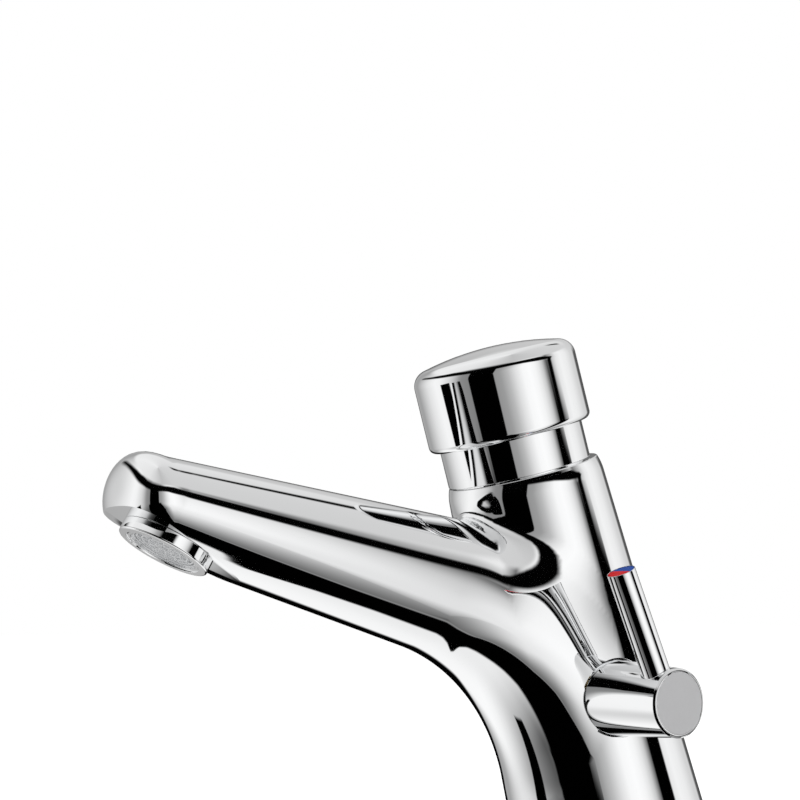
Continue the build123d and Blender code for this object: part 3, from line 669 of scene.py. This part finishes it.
def bodyField(points):
    # negative inside the body and 0 on its surface
    t = tapBody
    cone, horn = coneField(points), hornField(points)
    stride = t["filletStride"]
    coneSlope, hornSlope = slope(coneField, points, stride), slope(hornField, points, stride)
    steep = np.maximum(np.linalg.norm(hornSlope, axis=1), t["leastSlope"])
    horn = horn / steep
    likeness = np.sum(coneSlope * hornSlope, axis=1) / steep / np.linalg.norm(coneSlope, axis=1)
    turn = np.maximum(1 - likeness, 0)
    # a tight fillet under the collar that opens out down the sides
    below = np.maximum(t["filletStation"] - points @ leanDir, 0) ** 2
    down = below / (below + t["filletSpread"] ** 2)
    size, knee = (top + grow * down for top, grow in zip(t["filletTop"], t["filletGrow"]))
    blend = np.maximum(size * turn / (turn + knee), t["leastBlend"])
    share = np.clip(0.5 + 0.5 * (horn - cone) / blend, 0, 1)
    return horn * (1 - share) + cone * share - blend * share * (1 - share)


def limitedField(points):
    # the body with stub ends above the collar and below the deck, which the cuts take off
    station = points @ leanDir
    radius = np.linalg.norm(points - station[:, None] * leanDir, axis=1)
    above = station - tapBody["collarStation"] - tapBody["stubHeight"]
    field = np.maximum(bodyField(points), np.minimum(above, tapBody["stubRadius"] - radius))
    return np.maximum(field, -tapBody["stubDepth"] - points[:, 2])


def surfaceNet(field, low, high, cell):
    # a quad mesh round the inside of a field, one point for each cell that the surface crosses
    axes = [np.arange(low[i], high[i] + cell, cell) for i in range(3)]
    grid = np.stack(np.meshgrid(*axes, indexing="ij"), -1)
    shape = grid.shape[:3]
    value = field(grid.reshape(-1, 3)).reshape(shape)
    inside = value < 0
    window = tuple(size - 1 for size in shape)
    count = np.zeros(window, int)
    for i in (0, 1):
        for j in (0, 1):
            for k in (0, 1):
                count += inside[i:i + window[0], j:j + window[1], k:k + window[2]]
    live = (count > 0) & (count < 8)
    index = np.full(window, -1)
    index[live] = np.arange(live.sum())
    points = grid[:-1, :-1, :-1][live] + cell / 2
    faces = []
    for axis in range(3):
        one, two = np.eye(3, dtype=int)[(axis + 1) % 3], np.eye(3, dtype=int)[(axis + 2) % 3]
        first = np.take(inside, range(shape[axis] - 1), axis)
        second = np.take(inside, range(1, shape[axis]), axis)
        at = np.argwhere(first != second)
        at = at[np.all(at - one - two >= 0, axis=1) & np.all(at < np.array(window), axis=1)]
        around = [index[tuple((at - shift).T)] for shift in (0 * one, one, one + two, two)]
        quads = np.stack(around, -1)
        outward = first[tuple(at.T)]
        faces.append(np.where(outward[:, None], quads, quads[:, ::-1]))
    return points, np.concatenate(faces)


def pull(field, points, rounds, leastSize=0.05, longest=1):
    # move points onto the surface of a field, by no more than the longest move a round
    for _ in range(rounds):
        face = slope(field, points)
        size = np.maximum(np.sum(face * face, axis=1), leastSize)
        points = points - face * (np.clip(field(points), -longest, longest) / size)[:, None]
    return points


def relax(field, points, faces, rounds, hold=0.4):
    # even out the mesh along the surface, each point holding a share of its own place
    for _ in range(rounds):
        total, count = np.zeros_like(points), np.zeros(len(points))
        for one in range(4):
            here, there = faces[:, one], faces[:, (one + 1) % 4]
            for a, b in ((here, there), (there, here)):
                np.add.at(total, a, points[b])
                np.add.at(count, a, 1)
        points = pull(field, points * hold + total / count[:, None] * (1 - hold), rounds=2)
    return points


bodyCuts = {  # a bore is its radius, start and end along its axis
    "pocket": 22.0,
    "pocketFoot": -5.0,
    "pocketTop": 28.0,
    "pocketSides": 96,
    "timerBores": [(9.0, 48.5, 80.0), (16.0, 79.9, 100.0), (17.45, 99.9, 104.0), (19.0, 103.9, 125.0)],
    "mixerBore": (9.0, -12.5, 22.7),
    "spotFace": (10.75, 22.6, 34.0),
    "outletBore": (10.5, 0.0, 13.8),
    "inlets": [(4.5, 27.0, 36.0), (4.0, 35.9, 37.5), (2.1, 37.4, 46.5)],
    "inletPlaces": [(-7.5, -12.5), (7.5, -12.5)],
    "studHole": (4.05, 27.0, 39.0),
    "studPlace": (0.0, 8.0),
    "collarCut": (30.0, 20.0),  # radius and height
    "baseCut": (60.0, 20.0),  # half width and depth
    "facetCut": (28.0, 28.0),
}
leaning = frameOf((0, 0, 0), leanDir)
bodyAxes = frameOf((0, tapBody["shift"], 0), leanDir)
mixerAxes = frameOf(mixerCentre, (1, 0, 0), (0, 0, 1))
outletAxes = frameOf(outletCentre, outletDir)


def upright(x, y, z=0):
    return frameOf((x, y, z), (0, 0, 1))


def pocketCutter():
    # a leaning round pocket under the body, flat at both ends
    radius, foot, sides = bodyCuts["pocket"], bodyCuts["pocketFoot"], bodyCuts["pocketSides"]
    lean = math.tan(leanAngle)
    middle = tapBody["shift"] - foot * lean
    angles = [2 * math.pi * i / sides for i in range(sides)]
    deep = radius / math.cos(leanAngle)
    outline = [(radius * math.cos(a), middle + deep * math.sin(a), foot) for a in angles]
    rise = bodyCuts["pocketTop"] - foot
    return prism("pocketCut", outline, (0, -rise * lean, rise))


def bodyCutters():
    top = tapBody["collarStation"] - tapBody["rim"]
    collarRadius, collarHeight = bodyCuts["collarCut"]
    baseHalf, baseDepth = bodyCuts["baseCut"]
    base = [(x * baseHalf, y * baseHalf, -baseDepth) for x, y in square]
    facetHalf, facetDepth = bodyCuts["facetCut"]
    level = outletCentre + outletDir * facetHeight
    forward = np.cross(outletDir, (1, 0, 0))
    facet = [level + np.array([x * facetHalf, 0, 0]) + forward * (y * facetHalf) for x, y in square]
    cutters = [
        rod("collarCut", collarRadius, top, top + collarHeight, leaning),
        prism("baseCut", base, (0, 0, baseDepth + tapBody["gasket"])),
        prism("facetCut", facet, -outletDir * facetDepth),
        pocketCutter(),
        rod("spotCut", *bodyCuts["spotFace"], mixerAxes, around=160),
        rod("mixerCut", *bodyCuts["mixerBore"], mixerAxes),
        rod("outletCut", *bodyCuts["outletBore"], outletAxes),
    ]
    cutters += [rod("timerCut", *bore, leaning) for bore in bodyCuts["timerBores"]]
    for place in bodyCuts["inletPlaces"]:
        cutters += [rod("inletCut", *bore, upright(*place), around=48) for bore in bodyCuts["inlets"]]
    cutters.append(rod("studCut", *bodyCuts["studHole"], upright(*bodyCuts["studPlace"]), around=48))
    return cutters


skinTests = {
    "sharp": 30,
    "near": 0.02,  # a polished corner lies this close to the body's surface
    "alike": 0.93,  # and its face turns away from the surface by no more than this cosine
    "plane": 0.05,
    "inside": 0.3,  # the faces of hidden bores lie deeper inside than this
}


def dress(skin):
    # exact surface directions on the polished skin, brass on the hidden bores
    mesh = skin.data
    smooth(mesh, skinTests["sharp"])
    owner = readAll(mesh.loops, "vertex_index", kind=int)
    directions = readAll(mesh.corner_normals, "vector", 3, np.float32)
    places = readAll(mesh.vertices, "co", 3) / mm
    totals = readAll(mesh.polygons, "loop_total", kind=int)
    faceNormals = readAll(mesh.polygons, "normal", 3)
    centres = readAll(mesh.polygons, "center", 3) / mm
    exact = slope(bodyField, places)
    exact /= np.linalg.norm(exact, axis=1)[:, None]
    face = np.repeat(np.arange(len(totals)), totals)
    near = np.abs(bodyField(places))[owner] < skinTests["near"]
    alike = np.sum(exact[owner] * faceNormals[face], axis=1) > skinTests["alike"]
    onSkin = np.ones(len(totals), bool)
    np.logical_and.at(onSkin, face, near & alike)
    directions[onSkin[face]] = exact[owner][onSkin[face]]
    mesh.normals_split_custom_set(directions.tolist())
    plane = skinTests["plane"]
    onFacet = np.abs((centres - outletCentre) @ outletDir - facetHeight) < plane
    spotRadius, spotStart, _ = bodyCuts["spotFace"]
    fromMixer = np.linalg.norm((centres - mixerCentre)[:, 1:], axis=1)
    onSpot = (centres[:, 0] > spotStart - plane) & (fromMixer < spotRadius + plane)
    inner = ~(onSkin | onFacet | onSpot) & (bodyField(centres) < -skinTests["inside"])
    mesh.polygons.foreach_set("material_index", inner.astype(int))
    print("body skin has", len(totals), "faces,", int(onSkin.sum()), "of them polished")


def addBody():
    points, faces = surfaceNet(limitedField, tapBody["low"], tapBody["high"], tapBody["cell"])
    points = pull(bodyField, points, rounds=2)
    points = pull(limitedField, points, rounds=3)
    points = relax(limitedField, points, faces, rounds=3)
    points = pull(limitedField, points, rounds=3)
    mesh = newMesh("bodySkin", points, faces.tolist())
    skin = addPiece("bodySkin", mesh, ["polished_chrome", "brass"], "tap", ["tap_body"])
    carve(skin, bodyCutters())
    dress(skin)


def addRim():
    # the collar's edge, turned apart from the skin so that its rounding is crisp
    t = tapBody
    radius, station, rim = t["collarRadius"], t["collarStation"], t["rim"]
    taper = (t["baseRadius"] - radius) / station
    drawnFoot, drawnTop = ((t["rimHeight"] - drop) ** 2 / (2 * t["rimBend"]) for drop in (rim, 0))
    bore = bodyCuts["timerBores"][-1][0]
    foot = station - rim - t["rimLap"]
    corners = [
        (bore, foot, 0),
        (radius + taper * (rim + t["rimLap"]) - drawnFoot, foot, 0),
        (radius - drawnTop, station, t["rimEdge"]),
        (bore - t["shift"], station, 0),
    ]
    turned("collarRim", corners, bodyAxes, chrome, "tap", ["tap_body"], around=256, closed=True)


addBody()
addRim()
print("body grown")

# Push button and its sleeve
button = {
    "sleeve": 20.9,
    "sleeveBore": 15.0,
    "thread": 18.95,
    "sleeveFoot": 104.05,
    "sleeveTop": 136.0,
    "sleeveEdge": 0.6,
    "seatRound": 0.2,
    "bore": 21.3,
    "radius": 23.8,
    "rim": 125.2,
    "rimRound": 1.9,
    "mouthRound": 0.35,
    "ceiling": 144.0,
    "ceilingRound": 1.0,
    "apex": 151.6,
    "dome": 85.0,
    "shoulder": 5.0,
    "disc": 9.5,
    "discGap": 0.06,
    "discFloor": 149.8,
    "discSeat": 0.6,
    "hub": 6.5,
    "hubLength": 7.0,
    "hubStep": 0.01,
    "edge": 0.12,
}


def addSleeve():
    b = button
    collar = tapBody["collarStation"]
    corners = [
        (b["sleeveBore"], b["sleeveFoot"], 0),
        (b["thread"], b["sleeveFoot"], 0),
        (b["thread"], collar, 0),
        (b["sleeve"], collar, b["seatRound"]),
        (b["sleeve"], b["sleeveTop"], b["sleeveEdge"]),
        (b["sleeveBore"], b["sleeveTop"], 0),
    ]
    turned("neckSleeve", corners, leaning, chrome, "tap", ["neck_sleeve"], around=224, closed=True)


def addButton():
    b = button
    # the dome runs tangent into the shoulder
    ending = math.asin((b["radius"] - b["shoulder"]) / (b["dome"] - b["shoulder"]))
    crown = b["dome"] * math.tan(ending / 2)
    wallTop = b["apex"] - math.tan(ending) * (b["radius"] - crown)
    discTop = b["apex"] - b["dome"] + math.sqrt(b["dome"] ** 2 - b["disc"] ** 2)
    discTilt = math.asin(b["disc"] / b["dome"])
    rest = (ending + discTilt) / 2 - discTilt
    crownOut = b["disc"] + b["dome"] * math.tan(rest) * math.cos(discTilt)
    crownDown = discTop - b["dome"] * math.tan(rest) * math.sin(discTilt)
    seat = b["discFloor"] - b["discSeat"]
    hubFoot, hubSide = b["ceiling"] - b["hubLength"], b["hub"] + b["hubStep"]
    capCorners = [
        (b["disc"], b["discFloor"], 0),
        (b["disc"], seat, 0),
        (b["hub"], seat, 0),
        (b["hub"], hubFoot, 0),
        (hubSide, hubFoot, 0),
        (hubSide, b["ceiling"], 0),
        (b["bore"], b["ceiling"], b["ceilingRound"]),
        (b["bore"], b["rim"], b["mouthRound"]),
        (b["radius"], b["rim"], b["rimRound"]),
        (b["radius"], wallTop, b["shoulder"]),
        (crownOut, crownDown, b["dome"]),
        (b["disc"] + b["edge"], discTop, 0),
        (b["disc"], discTop - b["edge"], 0),
    ]
    fine = {"around": 256, "closed": True, "arcStep": 2.5}
    turned("buttonCap", capCorners, leaning, chrome, "button", ["push_cap"], **fine)
    outer = b["disc"] - b["discGap"]
    discCorners = [
        (0, b["discFloor"], 0),
        (outer, b["discFloor"], 0),
        (outer, discTop - b["edge"], 0),
        (outer - b["edge"], discTop, 0),
        (b["dome"] * math.tan(discTilt / 2), b["apex"], b["dome"]),
        (0, b["apex"], 0),
    ]
    turned("buttonDisc", discCorners, leaning, chrome, "button", ["cap_disc"], arcStep=2.0)


addSleeve()
addButton()
print("button turned")

# Side lever: the tapered hub, its satin end and the rod
lever = {
    "hubStart": 22.95,
    "hubEnd": 48.5,
    "hubBase": 10.3,
    "hubTip": 9.0,
    "baseRound": 0.25,
    "chamfer": 0.5,
    "chamferRound": 0.12,
    "recess": (8.0, 27.0),  # radius of the hollow toward the body, and where it ends
    "endDisc": 8.1,
    "endDiscHeight": 1.2,
    "endDiscGap": 0.05,
    "endDiscRound": 0.15,
    "screwHole": 3.4,
    "shaft": 3.55,
    "shaftEnd": 38.0,
    "rodX": 43.5,
    "rodTilt": 23.5,
    "rodRadius": 3.8,
    "rodTop": 37.2,
    "rodSeat": 7.5,
    "rodEdge": 0.12,
    "peg": (2.5, 4.35),  # radius and foot of the rod's thin end
    "holeGap": 0.06,
    "holeMouth": (0.05, 2.55, 2.5),  # over the hub's radius: where it flares from and to, by how much
    "lipRound": 0.08,
}
indexDisc = {  # the two half discs in the rod's end
    "radius": 3.64,
    "depth": 0.8,
    "gap": 0.05,
    "sunk": 0.06,
    "crown": 0.05,
    "edge": 0.1,
    "rings": 8,
    "around": 40,
}
rodTilt = math.radians(lever["rodTilt"])
rodDir = np.array([0, -math.sin(rodTilt), math.cos(rodTilt)])
rodAxes = frameOf(mixerCentre + np.array([lever["rodX"], 0, 0]), rodDir)


def addHub():
    v = lever
    recess, recessEnd = v["recess"]
    discStart, discEnd = v["hubEnd"] - v["endDiscHeight"], v["hubEnd"]
    hubCorners = [
        (recess, v["hubStart"], 0),
        (v["hubBase"], v["hubStart"], v["baseRound"]),
        (v["hubTip"], v["hubEnd"] - v["chamfer"], v["chamferRound"]),
        (v["hubTip"] - v["chamfer"], v["hubEnd"], v["chamferRound"]),
        (v["endDisc"], discEnd, 0),
        (v["endDisc"], discStart, 0),
        (v["screwHole"], discStart, 0),
        (v["screwHole"], v["shaftEnd"], 0),
        (v["shaft"], v["shaftEnd"], 0),
        (v["shaft"], recessEnd, 0),
        (recess, recessEnd, 0),
    ]
    hub = turned("leverHub", hubCorners, mixerAxes, chrome, "lever", ["knob_hub"], around=192, closed=True)
    clearance = v["rodRadius"] + v["holeGap"]
    mouth, mouthTop, flare = v["holeMouth"]
    holeCorners = [
        (0, v["rodSeat"], 0),
        (clearance, v["rodSeat"], 0),
        (clearance, v["hubTip"] + mouth, 0),
        (clearance + flare, v["hubTip"] + mouthTop, 0),
        (0, v["hubTip"] + mouthTop, 0),
    ]
    carve(hub, [turned("rodHole", holeCorners, rodAxes, [], None, around=96)])
    smooth(hub.data, sharp=25)
    outer = v["endDisc"] - v["endDiscGap"]
    discCorners = [
        (0, discStart, 0),
        (outer, discStart, 0),
        (outer, discEnd, v["endDiscRound"]),
        (0, discEnd, 0),
    ]
    turned("hubEndDisc", discCorners, mixerAxes, ["satin_chrome"], "lever", ["knob_end_cap"], around=128)


def addRod():
    v, hollow = lever, indexDisc["radius"]
    peg, pegFoot = v["peg"]
    hollowFloor = v["rodTop"] - indexDisc["depth"]
    corners = [
        (0, pegFoot, 0),
        (peg, pegFoot, 0),
        (peg, v["rodSeat"], 0),
        (v["rodRadius"], v["rodSeat"], 0),
        (v["rodRadius"], v["rodTop"], v["rodEdge"]),
        (hollow, v["rodTop"], v["lipRound"]),
        (hollow, hollowFloor, 0),
        (0, hollowFloor, 0),
    ]
    turned("leverRod", corners, rodAxes, chrome, "lever", ["lever_rod"], around=96)


def addHalfDisc(name, node, slot, start):
    # a half disc with a slightly crowned top, in rings from the middle of its straight side
    origin, across, over, along = rodAxes
    outer = indexDisc["radius"] - indexDisc["gap"]
    low, top = lever["rodTop"] - indexDisc["depth"], lever["rodTop"] - indexDisc["sunk"]
    rings, around = indexDisc["rings"], indexDisc["around"]
    row = around + 1
    points, faces = [], []
    for i in range(rings + 1):
        radius = outer * i / rings
        drop = indexDisc["edge"] if i == rings else 0
        height = top + indexDisc["crown"] * (1 - (i / rings) ** 2) - drop
        for j in range(row):
            angle = math.radians(start + 180 * j / around)
            out = across * math.cos(angle) + over * math.sin(angle)
            points.append(origin + out * radius + along * height)
    for i in range(rings):
        for j in range(around):
            a = i * row + j
            quad = (a + row, a + row + 1, a + 1, a)
            faces.append(quad if i > 0 else quad[:3])
    starts = [i * row for i in range(1, rings)]
    loop = [rings * row + j for j in range(row)] + [i + around for i in reversed(starts)] + [0] + starts
    foot, count = len(points), len(loop)
    points += [points[i] + along * (low - (points[i] - origin) @ along) for i in loop]
    for i in range(count):
        n = (i + 1) % count
        faces.append((loop[i], foot + i, foot + n, loop[n]))
    faces.append(tuple(foot + i for i in range(count)))
    mesh = newMesh(name, points, faces)
    smooth(mesh, sharp=35)
    addPiece(name, mesh, [slot], "lever", [node])


addHub()
addRod()
addHalfDisc("hotIndex", "hot_index", "red_plastic", 180)
addHalfDisc("coldIndex", "cold_index", "blue_plastic", 0)
print("lever made")

# Outlet: the chromed ring, with heights back from its face
outlet = {
    "ring": 12.0,
    "edge": 0.45,
    "backGap": 0.02,
    "backRound": 0.15,
    "spigot": 10.45,
    "spigotTop": 10.8,
    "bore": 9.25,
    "lip": 8.8,
    "lipFace": 0.25,
    "lipRound": 0.1,
    "recess": 0.8,
    "groove": 9.75,
    "grooveHalf": (0.2, 0.1),  # half its width at the face and at its floor
    "grooveDepth": 0.55,
    "grooveRound": 0.05,
    "faceRound": 0.08,
}


def addOutletRing():
    o = outlet
    mouth, narrow = o["grooveHalf"]
    back = facetHeight - o["backGap"]
    corners = [
        (o["lip"], o["recess"], 0),
        (o["lip"], o["lipFace"], o["lipRound"]),
        (o["groove"] - mouth, o["lipFace"], o["grooveRound"]),
        (o["groove"] - narrow, o["grooveDepth"], o["grooveRound"]),
        (o["groove"] + narrow, o["grooveDepth"], o["grooveRound"]),
        (o["groove"] + mouth, 0, o["faceRound"]),
        (o["ring"], 0, o["edge"]),
        (o["ring"], back, o["backRound"]),
        (o["spigot"], back, 0),
        (o["spigot"], o["spigotTop"], 0),
        (o["bore"], o["spigotTop"], 0),
        (o["bore"], o["recess"], 0),
    ]
    turned("outletRing", corners, outletAxes, chrome, "tap", ["outlet_ring"], around=192, closed=True)


# Flow insert: a plate with raised rings and radial ribs, all one moulding
insert = {
    "radius": 9.2,
    "top": 5.8,
    "plate": 1.7,
    "rings": [2.4, 4.3, 6.2, 7.6],
    "ringWidth": 0.45,
    "ringDepth": 0.25,
    "ringRound": 0.08,
    "footRound": 0.05,
    "wall": 0.6,
    "wallRound": 0.1,
    "ribs": 12,
    "ribWidth": 0.55,
    "ribStart": 1.0,
    "ribGap": 0.7,
    "ribDepth": 0.3,
    "ribSink": 0.1,
    "ribTaper": 0.75,
}


def addInsert():
    n = insert
    half, crest = n["ringWidth"] / 2, outlet["recess"] + n["ringDepth"]
    wall = outlet["lip"] - n["wall"]
    corners = [(0, n["top"], 0), (0, n["plate"], 0)]
    for middle in n["rings"]:
        corners += [
            (middle - half, n["plate"], n["footRound"]),
            (middle - half, crest, n["ringRound"]),
            (middle + half, crest, n["ringRound"]),
            (middle + half, n["plate"], n["footRound"]),
        ]
    corners += [
        (wall, n["plate"], n["footRound"]),
        (wall, outlet["recess"], n["wallRound"]),
        (n["radius"], outlet["recess"], 0),
        (n["radius"], n["top"], 0),
    ]
    pale = ["white_plastic"]
    turned("flowInsert", corners, outletAxes, pale, "tap", ["flow_insert"], around=128, closed=True)


def addRibs():
    n = insert
    origin, across, over, along = outletAxes
    boxFaces = ((0, 2, 3, 1), (4, 5, 7, 6), (0, 4, 6, 2), (1, 3, 7, 5), (0, 1, 5, 4), (2, 6, 7, 3))
    levels = ((outlet["recess"] + n["ribDepth"], n["ribTaper"]), (n["plate"] + n["ribSink"], 1.0))
    points, faces = [], []
    for i in range(n["ribs"]):
        angle = 2 * math.pi * i / n["ribs"]
        out = across * math.cos(angle) + over * math.sin(angle)
        wide = np.cross(along, out) * n["ribWidth"] / 2
        faces += [[len(points) + corner for corner in face] for face in boxFaces]
        for height, spread in levels:
            for radius in (n["ribStart"], outlet["lip"] - n["ribGap"]):
                for hand in (-1, 1):
                    points.append(origin + along * height + out * radius + wide * hand * spread)
    mesh = newMesh("insertRibs", points, faces)
    addPiece("insertRibs", mesh, ["white_plastic"], "tap", ["flow_insert"])


addOutletRing()
addInsert()
addRibs()
print("outlet made")

# Fixing: a threaded stud and a chamfered nut under the deck
fixingStud = {
    "radius": 4.0,
    "low": -65.0,
    "high": 38.8,
    "pitch": 1.25,
    "threadDepth": 0.6,
    "threadSlope": 2.6,
    "threadFlat": 0.15,
    "endTaper": 0.8,
    "perPitch": 6,
    "around": 36,
}


def addStud():
    s = fixingStud
    x, y = bodyCuts["studPlace"]
    around = s["around"]
    rings = int((s["high"] - s["low"]) / s["pitch"] * s["perPitch"])
    angle = np.arange(around) * 2 * math.pi / around
    points, faces = [], []
    for i in range(rings + 1):
        z = s["low"] + (s["high"] - s["low"]) * i / rings
        phase = (z / s["pitch"] - angle / (2 * math.pi)) % 1
        groove = np.clip(np.abs(phase - 0.5) * s["threadSlope"] - s["threadFlat"], 0, 1)
        fromEnd = min(z - s["low"], s["high"] - z)
        radius = s["radius"] - s["threadDepth"] * groove - max(0, s["endTaper"] - fromEnd)
        points += [(x + r * math.cos(a), y + r * math.sin(a), z) for r, a in zip(radius, angle)]
    for ring in range(0, rings * around, around):
        for j in range(around):
            n = (j + 1) % around
            faces.append([ring + j, ring + n, ring + around + n, ring + around + j])
    faces += [list(range(around))[::-1], [rings * around + j for j in range(around)]]
    mesh = newMesh("fixingStud", points, faces)
    smooth(mesh, sharp=40)
    addPiece("fixingStud", mesh, ["steel"], "tap", ["fixing_stud"])


clampNut = {
    "across": 13.0,
    "top": -36.0,
    "height": 6.5,
    "bore": 4.05,
    "chamfer": 0.9,
    "chamferSlope": 2.6,
    "chamferStart": 0.15,
    "overrun": (3.0, 1.0),  # of the cutters, outward and past each end
}


def addNut():
    c = clampNut
    corner = c["across"] / math.sqrt(3)
    x, y = bodyCuts["studPlace"]
    height, foot = c["height"], c["top"] - c["height"]
    angles = [math.radians(60 * i) for i in range(6)]
    hexagon = [(x + corner * math.cos(a), y + corner * math.sin(a), foot) for a in angles]
    nut = prism("clampNut", hexagon, (0, 0, height))
    axes = upright(x, y, foot)
    flat, chamfer = c["across"] / 2 - c["chamferStart"], c["chamfer"]
    wide = flat + c["chamferSlope"] * chamfer
    outward, past = c["overrun"]
    bevel = [
        (flat, -past, 0), (corner + outward, -past, 0), (corner + outward, height + past, 0),
        (flat, height + past, 0), (flat, height, 0), (wide, height - chamfer, 0), (wide, chamfer, 0),
        (flat, 0, 0),
    ]
    carve(nut, [
        turned("nutEdge", bevel, axes, [], None, around=96, closed=True),
        rod("nutHole", c["bore"], -past, height + past, axes, around=64),
    ])
    nut.data.materials.append(finishes["steel"])
    smooth(nut.data, sharp=20)
    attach(nut, "tap")
    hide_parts("clamp_nut")


addStud()
addNut()
print("fixing made")

# Return spring: a copy of its solid; the share of its length that the button's travel would leave is printed
spring = {"travel": 7.0}


def addSpring():
    source = nodes["return_spring"]
    mesh = source.data.copy()
    mesh.transform(source.matrix_world)
    stations = readAll(mesh.vertices, "co", 3) @ leanDir / mm
    foot, top = stations.min(), stations.max()
    mesh.materials.clear()
    made = addPiece("returnSpring", mesh, ["steel"], "tap", ["return_spring"])
    keep = 1 - spring["travel"] / (top - foot)
    tuple(leanDir * foot * mm)
    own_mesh(made)
    print("spring", round(foot, 1), "to", round(top, 1), "mm up, keeps", round(keep, 3))


addSpring()

print("cad box", [round(v / mm, 1) for corner in cadBox for v in corner])
